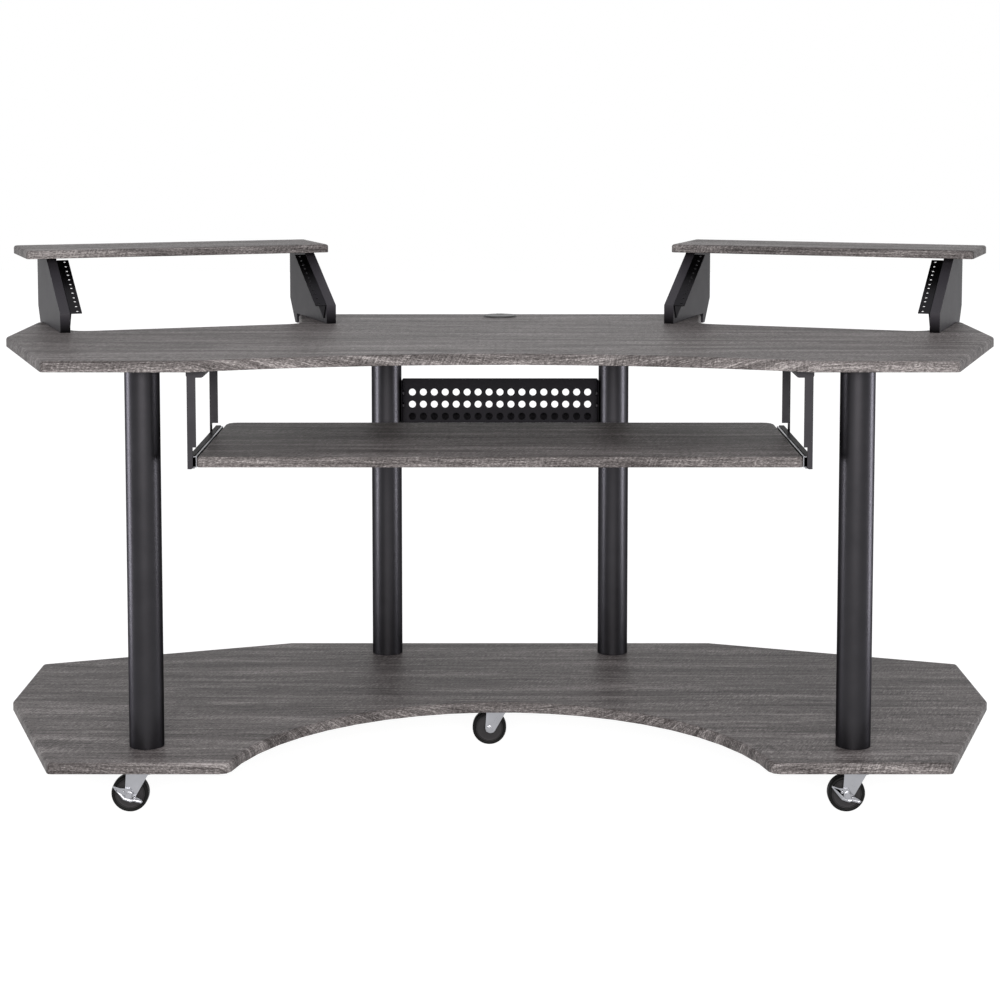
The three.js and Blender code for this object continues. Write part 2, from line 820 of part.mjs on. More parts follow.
function casterPlate() {
  const padBottom = shelfBottom - padSheet;
  const outline = rectangle(-padLength / 2, -padWidth / 2, padLength / 2, padWidth / 2, padRadius);
  const pad = slab(outline, padSheet).translate(0, 0, padBottom);
  const headTop = crownTop - crownSheet - seatGap;
  const race = crownTop + seatGap;
  const kingpin = turned([
    [0, headTop - kingpinHeadHeight], [kingpinHeadRadius, headTop - kingpinHeadHeight / 2],
    [kingpinHeadRadius, headTop], [kingpinRadius, headTop], [kingpinRadius, race],
    [raceRadius - raceBevel, race], [raceRadius, race + raceBevel],
    [raceRadius, padBottom + padSheet / 2], [0, padBottom + padSheet / 2],
  ], raceSides);
  return join([pad, kingpin, ...screws(casterScrews)]);
}

function casterFork() {
  const leg = roundedOutline([
    [-crownHalfLength, crownTop],
    [-casterTrail - bossRadius, wheelRadius - bossRadius, bossRadius - seatGap],
    [bossRadius - casterTrail, wheelRadius - bossRadius, bossRadius - seatGap],
    [legShoulder.x, legShoulder.z, legShoulder.radius],
    [crownHalfLength, crownTop - legCrownDrop], [crownHalfLength, crownTop],
  ], legSteps);
  const outer = legHalf + forkSheet;
  const legs = [-outer, legHalf].map((y) => acrossY(leg, forkSheet).translate(0, y, 0));
  const crown = slab(rectangle(-crownHalfLength, -outer, crownHalfLength, outer, crownRadius), crownSheet)
    .translate(0, 0, crownTop - crownSheet);
  const kingpinHole = rod(clearOf(kingpinRadius, raceSides), crownSheet + 2 * overrun, raceSides)
    .translate(0, 0, crownTop - crownSheet - overrun);
  const axleHole = rod(axleRadius + seatGap, 2 * (outer + overrun), axleSides)
    .rotateX(Math.PI / 2)
    .translate(-casterTrail, outer + overrun, wheelRadius);
  return cut(join([crown, ...legs]), [kingpinHole, axleHole]);
}

function casterAxle(brake) {
  const legFace = legHalf + forkSheet + seatGap;
  const headFace = brake ? -legFace - leverSheet - seatGap : -legFace;
  return turnedAboutY([
    [0, headFace - axleHeadHeight], [axleHeadRadius, headFace - axleHeadHeight], [axleHeadRadius, headFace],
    [axleRadius, headFace], [axleRadius, legFace], [axleHeadRadius, legFace],
    [axleHeadRadius, legFace + axleNutHeight], [0, legFace + axleNutHeight],
  ], axleSides).translate(-casterTrail, 0, wheelRadius);
}

// The flat of one facet meets the floor, so the tread reaches its radius at the facets' middles
function casterWheel() {
  const bore = clearOf(axleRadius, wheelSides);
  const halfHub = hubWidth / 2;
  const tread = wheelRadius / Math.cos(Math.PI / wheelSides);
  const half = [
    [bore, halfHub], [hubRadius, wheelWidth / 2 - sideDish],
    [tread - treadDrop, wheelWidth / 2], [tread, treadWidth / 2],
  ];
  const mirrored = half.map(([radius, y]) => [radius, -y]);
  return turnedAboutY([...mirrored, ...half.reverse(), mirrored[0]], wheelSides, Math.PI / wheelSides)
    .translate(-casterTrail, 0, wheelRadius);
}

function brakeLever() {
  const face = -legHalf - forkSheet - seatGap;
  const outline = (inset) => roundedOutline(leverShares.map(([x, z]) => {
    const reach = leverLength - inset;
    return [x * reach, z * (leverLength - 2 * inset), leverTipShare * leverLength];
  }), 1);
  const plate = acrossY(outline(0), leverRim).translate(0, face - leverRim, 0);
  const hollow = acrossY(outline(2 * leverRimSheet), leverRim)
    .translate(0, face - leverSheet - leverRim, 0);
  const hub = rod(leverHubRadius, leverSheet, axleSides).rotateX(Math.PI / 2).translate(0, face, 0);
  const seat = rod(clearOf(axleHeadRadius, axleSides), leverRim, axleSides)
    .rotateX(Math.PI / 2)
    .translate(0, face - leverSheet, 0);
  const hole = rod(clearOf(axleRadius, axleSides), 2 * leverRim, axleSides)
    .rotateX(Math.PI / 2)
    .translate(0, face + leverRim / 2, 0);
  return cut(join([cut(plate, [hollow]), hub]), [seat, hole]).translate(-casterTrail, 0, wheelRadius);
}

// Assembly

const desk = new THREE.Group();

function addPiece(group, name, geometry, finish) {
  const mesh = new THREE.Mesh(geometry, new THREE.MeshStandardMaterial(finishes[finish]));
  mesh.name = name;
  group.add(mesh);
  return mesh;
}

function addGroup(matrix) {
  const group = new THREE.Group();
  group.applyMatrix4(matrix);
  desk.add(group);
  return group;
}

const riserParts = sides.map(([label, side]) => ({ label, side, matrix: riserMatrix(side) }));

const panelBores = riserParts.flatMap(({ side, matrix }) => panelSpots
  .flatMap((spot) => bores(panelScrewSet(spot, side)))
  .map((bore) => bore.applyMatrix4(matrix)));
const deskBores = [
  ...panelBores,
  ...tieRodBores(deskBottom - overrun, deskBottom + tieRodDepth + seatGap),
  ...sides.flatMap(([, side]) => bores(hangerScrews(side))),
];
const shelfBores = [
  ...tieRodBores(shelfBottom - overrun, shelfTop + overrun),
  ...casters.flatMap(({ x, y }) => shifted(bores(casterScrews), x, y, 0)),
];

addPiece(desk, 'desktop', desktop(deskBores), 'oak');
addPiece(desk, 'bottom_shelf', bottomShelf(shelfBores), 'oak');

columnPlaces.forEach(({ name, x, y, rear }) => {
  const tools = rear ? shifted(bores(troughBolts), -x, -y, -shelfTop) : [];
  addPiece(desk, `column_${name}`, column(tools), 'blackSteel').position.set(x, y, shelfTop);
  addPiece(desk, `tie_rod_${name}`, tieRod(), 'zinc').position.set(x, y, 0);
});

riserParts.forEach(({ label, side, matrix }) => {
  const riser = addGroup(matrix);
  addPiece(riser, `riser_shelf_${label}`, riserShelf(side), 'oak');
  panelSpots.forEach((spot) => {
    const place = `${label}_${spot.name}`;
    addPiece(riser, `riser_panel_${place}`, sidePanel(spot, side), 'charcoal');
    addPiece(riser, `rack_rail_${place}`, rackRail(spot, side), 'blackSteel');
    screws(panelScrewSet(spot, side)).forEach((geometry, index) => {
      addPiece(riser, `panel_screw_${place}_${panelScrewSpots[index].name}`, geometry, 'zinc');
    });
  });
});

addPiece(desk, 'cable_trough', cableTrough(), 'blackSteel');

sides.forEach(([label, side]) => {
  addPiece(desk, `tray_hanger_${label}`, trayHanger(side), 'blackSteel');
  addPiece(desk, `slide_outer_${label}`, slideOuter(side), 'blackSteel');
  addPiece(desk, `slide_inner_${label}`, slideInner(side), 'zinc');
});
addPiece(desk, 'keyboard_tray', keyboardTray(), 'oak');

addPiece(desk, 'grommet_liner', grommetLiner(), 'plastic');
addPiece(desk, 'grommet_cap', grommetCap(), 'plastic');

casters.forEach((caster) => {
  const group = addGroup(new THREE.Matrix4().makeTranslation(caster.x, caster.y, 0));
  addPiece(group, `caster_plate_${caster.name}`, casterPlate(), 'zinc');
  addPiece(group, `caster_fork_${caster.name}`, casterFork(), 'zinc');
  addPiece(group, `caster_axle_${caster.name}`, casterAxle(caster.brake), 'zinc');
  addPiece(group, `caster_wheel_${caster.name}`, casterWheel(), 'rubber');
  if (caster.brake) addPiece(group, `brake_lever_${caster.name}`, brakeLever(), 'zinc');
});

// The footprint runs from the straight front edge to the inner rear corners of the riser shelves
const footprint = new THREE.Box3().setFromObject(desk, true);
desk.position.y = -(footprint.min.y + footprint.max.y) / 2;

export default desk;
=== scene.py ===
"""A studio desk on casters, dressed over its CAD frame: foil-wrapped boards, angled riser racks,
powder-coated columns, a perforated cable trough, a sliding keyboard tray and zinc casters."""

import math

import bmesh
import bpy
from mathutils import Matrix, Vector


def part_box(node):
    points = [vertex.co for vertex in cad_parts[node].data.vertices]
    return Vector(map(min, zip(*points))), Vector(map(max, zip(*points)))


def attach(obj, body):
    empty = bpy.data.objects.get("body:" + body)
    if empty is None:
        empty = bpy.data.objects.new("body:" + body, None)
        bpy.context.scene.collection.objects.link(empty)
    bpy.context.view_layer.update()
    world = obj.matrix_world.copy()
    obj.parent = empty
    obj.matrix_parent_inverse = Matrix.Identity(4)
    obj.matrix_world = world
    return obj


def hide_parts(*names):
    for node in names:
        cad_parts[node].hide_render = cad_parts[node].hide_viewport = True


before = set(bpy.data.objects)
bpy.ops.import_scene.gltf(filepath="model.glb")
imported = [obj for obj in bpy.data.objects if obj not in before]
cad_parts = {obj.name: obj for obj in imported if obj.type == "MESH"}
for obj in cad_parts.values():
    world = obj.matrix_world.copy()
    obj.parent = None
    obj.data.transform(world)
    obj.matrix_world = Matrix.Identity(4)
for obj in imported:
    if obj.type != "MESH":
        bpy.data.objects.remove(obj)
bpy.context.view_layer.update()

bl_info = {
    "name": "Studio Desk",
    "version": (1, 0, 0),
    "blender": (4, 5, 0),
    "location": "3D View > Sidebar > Studio Desk",
    "description": "Builds the boards, racks, columns, trough, tray and casters of a studio desk",
    "category": "Add Mesh",
}

MM = 0.001
TOUCH = 1e-5
UNDOABLE = {"REGISTER", "UNDO"}
X_AXIS = Vector((1, 0, 0))
Y_AXIS = Vector((0, 1, 0))
Z_AXIS = Vector((0, 0, 1))

# Angles that tell flat from bent, and bent from an edge to round or to shade sharp
CAD_FLAT = math.radians(0.5)
OUTLINE_FLAT = math.radians(0.3)
RIM_ANGLE = math.radians(45)
BEVEL_ANGLE = math.radians(40)
SHARP_ANGLE = math.radians(35)

# Names in the CAD frame, and for each side the way in which its riser turns
SIDES = (("left", 1), ("right", -1))
PANELS = ("outer", "inner")
CORNERS = ("front_left", "front_right", "rear_left", "rear_right")
CASTERS = ("front_left", "front_right", "middle", "rear_left", "rear_right")
BRAKED = ("front_left", "front_right")

# Sizes of the boards that the CAD fixes, and depths at which no bore breaks an outline
WING = math.radians(20)
BOARD_REAR = 386.753 * MM
SHELF_CUT = 5 * MM
PANEL_CUT = 2 * MM

# Sizes of the rack rails
SLOPE = math.radians(30)
RAIL_SPACING = 465.1 * MM
RAIL_OUTER_X = 836.7 * MM
RAIL_INSET = 231.3 * MM
RAIL_TOP = 900 * MM
RAIL_WALL = -13.7 * MM
RAIL_EDGE = 8 * MM
RAIL_DEPTH = 31 * MM
RAIL_SHEET = 2 * MM
RAIL_SCREWS = (24 * MM, 141.1 * MM)
RAIL_SCREW_DEPTH = 11 * MM
RACK_UNITS = 4
UNIT_HOLES = 3
HOLE_STEP = 15.875 * MM
UNIT_GAP = 12.7 * MM

# Sizes of the cable trough
TROUGH_WALL = BOARD_REAR - 63 * MM
TROUGH_SHEET = 1.5 * MM
TROUGH_ROWS = 3
TROUGH_COLUMNS = 17
TROUGH_STEP = 22 * MM
TROUGH_ROW_STEP = 24.5 * MM
TROUGH_TOP_ROW = 626 * MM
TROUGH_SIDE = 195.2 * MM
TROUGH_TAB = 30 * MM
TROUGH_TAB_CORNER = 1 * MM
TROUGH_LIP = 9 * MM
TROUGH_FLOOR = 60 * MM
TROUGH_REAR_LIP = 24 * MM
TROUGH_BOLT_Y = BOARD_REAR - 78 * MM

# Sizes of the columns
COLUMN_RIM = 0.5 * MM
COLUMN_WALL = 2 * MM
COLUMN_SEAM = 0.2 * MM

# Sizes of the cable grommet
GROMMET_BORE = 30 * MM
SLOT_WIDTH = 15 * MM
SLOT_END = 23 * MM
SLOT_MOUTH = 16 * MM
CUT_DEPTH = 100 * MM

# Sizes of the casters
PLATE_CUT = 78.8 * MM
PLATE_UNDER = 77.5 * MM
PLATE_SCREWS = [(x * MM, y * MM) for x in (-38, 38) for y in (-22, 22)]
LEVER_RIM = 1.6 * MM
LEVER_SINK = 0.7 * MM
LEVER_RIVETS = ((-9 * MM, 5.2 * MM), (9.5 * MM, -5.6 * MM))
AXLE_HEAD = 4 * MM
AXLE_NUT = 5 * MM

# The camera and the lamps. A lamp has a place, a target, a width, a height, the setting that holds
# its power, and a tint.
CAMERA_PLACE = (0, -4.062, 1.1938)
CAMERA_DOWN = math.radians(4.849)
CAMERA_LENS = 79.189
CAMERA_SHIFT = -0.205
FLOOR_HALF = 12
FLOOR_DROP = 0.4 * MM
FLOOR_TONE = (0.8, 0.8, 0.8, 1)
FLOOR_WHITE = 1.2
WORLD_TINT = (0.97, 0.96, 1, 1)
LAMPS = {
    "softbox": ((0, -2.4, 2.6), (0, 0, 0.6), 3.2, 1.8, "softbox", (0.98, 0.96, 1)),
    "front_box": ((0, -4.5, 1.6), (0, 0, 0.6), 3.0, 1.0, "front", (1, 0.97, 0.95)),
    "left_strip": ((-1.9, -0.15, 0.6), (0, -0.1, 0.6), 0.4, 1.5, "strip", (0.96, 0.96, 1)),
    "right_strip": ((1.9, -0.15, 0.6), (0, -0.1, 0.6), 0.4, 1.5, "strip", (0.96, 0.96, 1)),
}


def profile(*points):
    """A profile of radius and height, given in millimetres."""
    return [(radius * MM, height * MM) for radius, height in points]


def mirrored(half):
    """A profile's upper half, after the lower half that mirrors it."""
    return [(radius, -height) for radius, height in reversed(half)] + half


# Profiles of the turned parts, from the CAD's own radii and heights
LINER_PROFILE = profile(
    (27.1, -17), (29.7, -17), (29.7, 0), (34, 0), (33.9, 0.8), (33, 2.2), (32, 3), (31.1, 3),
    (31.1, 1), (26.2, 1), (26.2, 0), (27.1, 0))
CAP_PROFILE = profile(
    (0, 1.3), (24.3, 1.3), (24.3, -6.7), (25.6, -6.7), (25.6, 1.3), (30.5, 1.3), (30.5, 2.3),
    (29.8, 2.9), (29, 3), (6, 2.8), (0, 2.8))
RACE_PROFILE = profile(
    (0, 72.2), (17, 72.2), (17.8, 71.8), (21, 71.8), (22.5, 72.6), (23, 74), (22.4, 75.4),
    (22.8, 76.6), (23, 77.6), (0, 77.6))
PIN_PROFILE = profile(
    (0, 65.6), (6.5, 65.8), (8, 67), (8, 68.5), (5, 68.5), (5, 72.4), (0, 72.4))
TYRE_PROFILE = mirrored(profile(
    (25.5, 9.2), (26.2, 10.4), (27.4, 10.9), (28.4, 11), (29.8, 10.5), (31, 9.3), (31.6, 7.6),
    (31.75, 5.5)))
CORE_PROFILE = mirrored(profile(
    (4.3, 13.2), (8.2, 13.2), (9, 12.6), (9.6, 9.6), (11, 8.6), (21, 8.2), (23.4, 8.8),
    (24.4, 10.2), (25.2, 10.3), (25.8, 9.6)))

# The textured finishes: the settings group and the setting that hold the tone, the scale of the
# dimples, the mottle, the roughness, the relief, and the shader's plain values
FINISHES = {
    "charcoal_panel": (
        "desk_boards", "charcoal", 900, 0.14, 0.5, 0.03 * MM, {"Specular IOR Level": 0.16}),
    "black_steel": (
        "desk_steel", "coat", 1400, 0.2, 0.36, 0.02 * MM,
        {"Metallic": 1.0, "Specular Tint": (0.4, 0.4, 0.4, 1)}),
    # The trough's look is the same black powder coat, painted darker and less reflective as
    # painted shade from the tray and desktop above it
    "sheet_steel": (
        "desk_steel", "sheet", 1400, 0.2, 0.4, 0.02 * MM,
        {"Metallic": 1.0, "Specular Tint": (0.2, 0.2, 0.2, 1)}),
    "zinc_steel": ("desk_steel", "zinc", 700, 0.25, 0.3, 0.02 * MM, {"Metallic": 1.0}),
    "black_rubber": (
        "desk_moulded", "rubber", 1100, 0.3, 0.55, 0.05 * MM, {"Specular IOR Level": 0.1}),
    "wheel_core": (
        "desk_moulded", "core", 1100, 0.2, 0.5, 0.03 * MM, {"Specular IOR Level": 0.2}),
    "black_plastic": (
        "desk_moulded", "plastic", 1600, 0.2, 0.4, 0.04 * MM, {"Specular IOR Level": 0.4}),
}

# The oak foil: its relief and gloss, and how far sideways a face looks where it folds over
FOIL_RELIEF = 0.12 * MM
FOIL_GLOSS = 0.12
FOLD_SHARE = 0.3


# Settings

def length(name, default, description):
    """A size that a user may change, in metres."""
    return bpy.props.FloatProperty(
        name=name, description=description, default=default, subtype="DISTANCE", unit="LENGTH",
        precision=5, min=0.0)


def colour(name, default, description):
    """A colour that a user may change, in linear light."""
    return bpy.props.FloatVectorProperty(
        name=name, description=description, default=default, subtype="COLOR", size=3, min=0.0,
        max=1.0)


def factor(name, default, description):
    """A share from 0 to 1."""
    return bpy.props.FloatProperty(
        name=name, description=description, default=default, subtype="FACTOR", min=0.0, max=1.0)


def power(name, default, description):
    """A lamp's power in watts."""
    return bpy.props.FloatProperty(
        name=name, description=description, default=default, unit="POWER")


class BoardSettings(bpy.types.PropertyGroup):
    """Boards and side panels."""

    top_radius: length("Top edge", 0.006, "Rounding of the upper edge of a foil-wrapped board")
    thin_radius: length("Thin board edge", 0.005, "Rounding of the upper edge of tray and risers")
    under_radius: length("Lower edge", 0.0012, "Rounding of the lower edge of a board")
    panel_radius: length("Panel edge", 0.0012, "Rounding of the edges of a side panel")
    oak_dark: colour("Oak, dark", (0.034, 0.03, 0.029), "Darkest lines of the printed oak")
    oak_middle: colour("Oak, middle", (0.108, 0.098, 0.096), "Main tone of the printed oak")
    oak_light: colour("Oak, light", (0.3, 0.28, 0.273), "Lightest streaks of the printed oak")
    charcoal: colour("Charcoal", (0.031, 0.029, 0.034), "Foil of the side panels")


class SteelSettings(bpy.types.PropertyGroup):
    """Powder-coated and zinc-plated steel."""

    coat: colour("Powder coat", (0.031, 0.03, 0.033), "Satin black powder coat")
    # The trough's colour is the black powder coat painted darker, as painted shade from the tray
    # and desktop above it
    sheet: colour("Sheet steel", (0.011, 0.0105, 0.012), "Dull black coat of the trough")
    zinc: colour("Zinc", (0.32, 0.325, 0.345), "Bright zinc plate")
    fold: length("Sheet edge", 0.0004, "Rounding of the edges of bent sheet steel")
    trough_hole: length("Trough hole", 0.007, "Radius of the holes in the cable trough")
    rack_hole: length("Rack hole", 0.0024, "Radius of the holes in the rack rails")


class MouldedSettings(bpy.types.PropertyGroup):
    """Plastic and rubber."""

    plastic: colour("Plastic", (0.012, 0.012, 0.0125), "Textured plastic of the grommet")
    rubber: colour("Rubber", (0.005, 0.005, 0.005), "Treads of the wheels")
    core: colour("Wheel core", (0.022, 0.021, 0.022), "Sides of the wheels")


class StudioSettings(bpy.types.PropertyGroup):
    """Floor and light."""

    floor: factor("Floor", 0.25, "How strongly the floor shows light and shadow")
    ambient: factor("Ambient", 0.47, "Light from all around")
    softbox: power("Softbox", 33.0, "Power of the overhead softbox")
    front: power("Front light", 185.0, "Power of the light by the camera")
    strip: power("Strips", 44.0, "Power of each strip light beside the columns")


SETTINGS = {
    "desk_boards": BoardSettings,
    "desk_steel": SteelSettings,
    "desk_moulded": MouldedSettings,
    "desk_studio": StudioSettings,
}


# Places in the desk

def reach(name, axis):
    """The lowest and highest place of a CAD node along an axis."""
    places = [axis.dot(vert.co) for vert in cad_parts[name].data.vertices]
    return min(places), max(places)


def middle_of(name):
    """The middle of a CAD node's box."""
    low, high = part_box(name)
    return (low + high) / 2


def at_level(point, level):
    """A point moved straight up or down to a level."""
    return Vector((point.x, point.y, level))


def aimed(point, out):
    """A place whose z axis points along a direction."""
    return Matrix.Translation(point) @ out.to_track_quat("Z", "Y").to_matrix().to_4x4()


def riser_place(side):
    """From a riser's own frame, along the rack and up from the floor, to the desk."""
    corner = Matrix.Translation((-side * RAIL_OUTER_X, BOARD_REAR - RAIL_INSET, 0))
    return corner @ Matrix.Rotation(side * WING, 4, "Z")


def along_riser(side):
    """The direction along a riser."""
    return (riser_place(side).to_3x3() @ X_AXIS).normalized()


# Mesh helpers

def cad_copy(name):
    """A CAD node's mesh with its loose triangles joined and its flat faces whole."""
    bm = bmesh.new()
    bm.from_mesh(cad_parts[name].data)
    bmesh.ops.remove_doubles(bm, verts=bm.verts, dist=TOUCH)
    bmesh.ops.dissolve_limit(bm, angle_limit=CAD_FLAT, verts=bm.verts, edges=bm.edges)
    return bm


def largest_loop(bm):
    """Leave only the longest chain of joined edges."""
    waiting = set(bm.verts)
    chains = []
    while waiting:
        chain = [waiting.pop()]
        for vert in chain:
            for edge in vert.link_edges:
                other = edge.other_vert(vert)
                if other in waiting:
                    waiting.remove(other)
                    chain.append(other)
        chains.append(chain)

    def perimeter(chain):
        return sum(edge.calc_length() for vert in chain for edge in vert.link_edges)

    keep = set(max(chains, key=perimeter))
    bmesh.ops.delete(bm, geom=[vert for vert in bm.verts if vert not in keep], context="VERTS")


def cut_outline(name, point, normal):
    """The largest outline that a plane cuts out of a CAD node, as one face."""
    bm = bmesh.new()
    bm.from_mesh(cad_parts[name].data)
    bmesh.ops.remove_doubles(bm, verts=bm.verts, dist=TOUCH)
    bmesh.ops.bisect_plane(
        bm, geom=bm.verts[:] + bm.edges[:] + bm.faces[:], dist=TOUCH, plane_co=point,
        plane_no=normal, clear_inner=True, clear_outer=True)
    bmesh.ops.remove_doubles(bm, verts=bm.verts, dist=TOUCH)
    largest_loop(bm)
    bmesh.ops.contextual_create(bm, geom=bm.edges[:])
    bmesh.ops.dissolve_limit(bm, angle_limit=OUTLINE_FLAT, verts=bm.verts, edges=bm.edges)
    return bm


def new_verts(made):
    """The vertices among what an operator has made."""
    return [part for part in made["geom"] if isinstance(part, bmesh.types.BMVert)]


def thicken(bm, travel):
    """Give a flat face a thickness."""
    made = bmesh.ops.extrude_face_region(bm, geom=bm.faces[:])
    bmesh.ops.translate(bm, verts=new_verts(made), vec=travel)
    bmesh.ops.recalc_face_normals(bm, faces=bm.faces)


def round_edges(bm, edges, radius, segments):
    """Round edges with a radius."""
    bmesh.ops.bevel(
        bm, geom=edges, offset=radius, offset_type="OFFSET", segments=segments, profile=0.5,
        affect="EDGES", clamp_overlap=True, material=-1)


def lies_at(edge, axis, place):
    """Whether an edge lies in the plane at a place along an axis."""
    return all(abs(axis.dot(vert.co) - place) < TOUCH for vert in edge.verts)


def rim_edges(bm, axis, place):
    """The sharp edges that lie in the plane at a place along an axis."""
    return [
        edge for edge in bm.edges
        if lies_at(edge, axis, place) and len(edge.link_faces) == 2
        and edge.calc_face_angle() > RIM_ANGLE]


def border(bm, axis, place):
    """The open edges of a sheet at a place along an axis."""
    return [edge for edge in bm.edges if edge.is_boundary and lies_at(edge, axis, place)]


def slab(name, axis, level, top_radius, under_radius):
    """A board with the outline that a CAD node has at a level, rounded along both faces."""
    low, high = reach(name, axis)
    bm = cut_outline(name, axis * level, axis)
    bmesh.ops.translate(bm, verts=bm.verts, vec=axis * (low - level))
    thicken(bm, axis * (high - low))
    round_edges(bm, rim_edges(bm, axis, high), top_radius, segments=6)
    round_edges(bm, rim_edges(bm, axis, low), under_radius, segments=2)
    return bm


def lathe(points, place, steps, ring=False):
    """Turn a profile, closed where it is a ring, about the z axis and put it in place."""
    bm = bmesh.new()
    verts = [bm.verts.new((radius, 0, height)) for radius, height in points]
    pairs = list(zip(verts, verts[1:] + verts[:1]))
    edges = [bm.edges.new(pair) for pair in (pairs if ring else pairs[:-1])]
    bmesh.ops.spin(
        bm, geom=verts + edges, cent=(0, 0, 0), axis=Z_AXIS, angle=math.tau, steps=steps,
        use_merge=True)
    bmesh.ops.remove_doubles(bm, verts=bm.verts, dist=TOUCH)
    bmesh.ops.recalc_face_normals(bm, faces=bm.faces)
    bmesh.ops.transform(bm, verts=bm.verts, matrix=place)
    return bm


def rod(radius, depth, place, segments):
    """A plain cylinder, used to cut with."""
    bm = bmesh.new()
    bmesh.ops.create_cone(
        bm, cap_ends=True, segments=segments, radius1=radius, radius2=radius, depth=depth,
        matrix=place)
    return bm


def gather(parts):
    """Several meshes as one."""
    whole = bmesh.new()
    for part in parts:
        mesh = bpy.data.meshes.new("part")
        part.to_mesh(mesh)
        part.free()
        whole.from_mesh(mesh)
        bpy.data.meshes.remove(mesh)
    return whole


def perforated_cell(bm, hole, radius, low, high):
    """A rectangle with a round hole, whose sides are split alike so that cells can be joined."""
    ring = bmesh.ops.create_circle(
        bm, cap_ends=False, radius=radius, segments=24, matrix=Matrix.Translation(hole))["verts"]
    edges = [edge for edge in bm.edges if edge.verts[0] in ring and edge.verts[1] in ring]
    made = bmesh.ops.extrude_edge_only(bm, edges=edges)
    middle = (low + high) / 2
    half = (high - low) / 2
    quarter = math.pi / 2
    for vert in new_verts(made):
        arm = vert.co - hole
        angle = math.atan2(arm.y, arm.x)
        side = round(angle / quarter)
        share = (angle - side * quarter) / (quarter / 2)
        spot = Matrix.Rotation(side * quarter, 3, "Z") @ Vector((1, share, 0))
        vert.co = (middle.x + spot.x * half.x, middle.y + spot.y * half.y, hole.z)


def fold_out(bm, edges, travel):
    """Extend a sheet from some of its edges and return the edges at its new end."""
    made = bmesh.ops.extrude_edge_only(bm, edges=edges)
    moved = new_verts(made)
    bmesh.ops.translate(bm, verts=moved, vec=travel)
    ends = set(moved)
    return [
        part for part in made["geom"]
        if isinstance(part, bmesh.types.BMEdge) and set(part.verts) <= ends]


def face_sheet(bm, facing):
    """Turn an open sheet so that its main side faces a direction."""
    bmesh.ops.remove_doubles(bm, verts=bm.verts, dist=TOUCH)
    bmesh.ops.recalc_face_normals(bm, faces=bm.faces)
    if sum(face.calc_area() * face.normal.dot(facing) for face in bm.faces) < 0:
        bmesh.ops.reverse_faces(bm, faces=bm.faces)


def bolt(point, out, head, height, shank=0.0, depth=0.0):
    """A flanged hexagon head with its shank, seated at a point, in shares of the head's size."""
    place = aimed(point, out)
    flange = lathe([
        (0, 0), (head, 0), (head, height * 0.18), (head * 0.86, height * 0.3), (0, height * 0.3),
    ], place, steps=24)
    hexagon = bmesh.new()
    bmesh.ops.create_cone(
        hexagon, cap_ends=True, segments=6, radius1=head * 0.84, radius2=head * 0.84,
        depth=height * 0.72)
    top = next(face for face in hexagon.faces if face.normal.z > 0.9)
    round_edges(hexagon, list(top.edges), height * 0.12, segments=2)
    bmesh.ops.transform(
        hexagon, verts=hexagon.verts, matrix=place @ Matrix.Translation((0, 0, height * 0.64)))
    parts = [flange, hexagon]
    if shank:
        parts.append(lathe([
            (0, 0), (shank, 0), (shank, -depth * 0.94), (shank * 0.5, -depth), (0, -depth),
        ], place, steps=12))
    return gather(parts)


# Pieces

def finish_mesh(name, bm, material, closed):
    """Merge and turn a mesh, shade it and give it its material."""
    if closed:
        bmesh.ops.remove_doubles(bm, verts=bm.verts, dist=TOUCH / 10)
        bmesh.ops.recalc_face_normals(bm, faces=bm.faces)
    mesh = bpy.data.meshes.new(name)
    bm.to_mesh(mesh)
    bm.free()
    mesh.materials.append(material)
    for face in mesh.polygons:
        face.use_smooth = True
    mesh.set_sharp_from_angle(angle=SHARP_ANGLE)
    return mesh


def make_piece(name, bm, finish, body, replaces=(), sheet=0.0, edge=0.0, look=""):
    """Show a mesh as a piece that rides on a body and may stand for CAD nodes."""
    mesh = finish_mesh(name, bm, material_for(look or finish), not sheet)
    piece = bpy.data.objects.new(name, mesh)
    bpy.context.scene.collection.objects.link(piece)
    if sheet:
        wall = piece.modifiers.new("Sheet", "SOLIDIFY")
        wall.thickness = sheet
        wall.offset = -1
        wall.use_even_offset = True
    if edge:
        bevel = piece.modifiers.new("Edges", "BEVEL")
        bevel.width = edge
        bevel.segments = 2
        bevel.limit_method = "ANGLE"
        bevel.angle_limit = BEVEL_ANGLE
    shading = piece.modifiers.new("Shading", "WEIGHTED_NORMAL")
    shading.keep_sharp = True
    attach(piece, body)
    if replaces:
        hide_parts(*replaces)
    return piece


def subtract(piece, cutter):
    """Cut one mesh out of a piece for good."""
    mesh = bpy.data.meshes.new("cutter")
    cutter.to_mesh(mesh)
    cutter.free()
    tool = bpy.data.objects.new("cutter", mesh)
    bpy.context.scene.collection.objects.link(tool)
    hole = piece.modifiers.new("Hole", "BOOLEAN")
    hole.operation = "DIFFERENCE"
    hole.solver = "EXACT"
    hole.object = tool
    bpy.context.view_layer.objects.active = piece
    bpy.ops.object.modifier_move_to_index(modifier=hole.name, index=0)
    bpy.ops.object.modifier_apply(modifier=hole.name)
    bpy.data.objects.remove(tool)


def lay_foil(piece, top, start, turn=0.0):
    """Lay the foil, from a place in its print, on a board's top and fold it over the edges."""
    mesh = piece.data
    outward = [Vector((0, 0, 0)) for _ in mesh.vertices]
    for face in mesh.polygons:
        level = Vector((face.normal.x, face.normal.y, 0))
        if level.length > FOLD_SHARE:
            for index in face.vertices:
                outward[index] += level * face.area
    layer = mesh.uv_layers.new(name="foil")
    unturn = Matrix.Rotation(-turn, 3, "Z")
    for loop in mesh.loops:
        place = mesh.vertices[loop.vertex_index].co
        arm = outward[loop.vertex_index]
        if arm.length > 0:
            arm = arm.normalized()
        spot = unturn @ (place + arm * (top - place.z))
        layer.data[loop.index].uv = (spot.x + start[0], spot.y + start[1])


# Materials

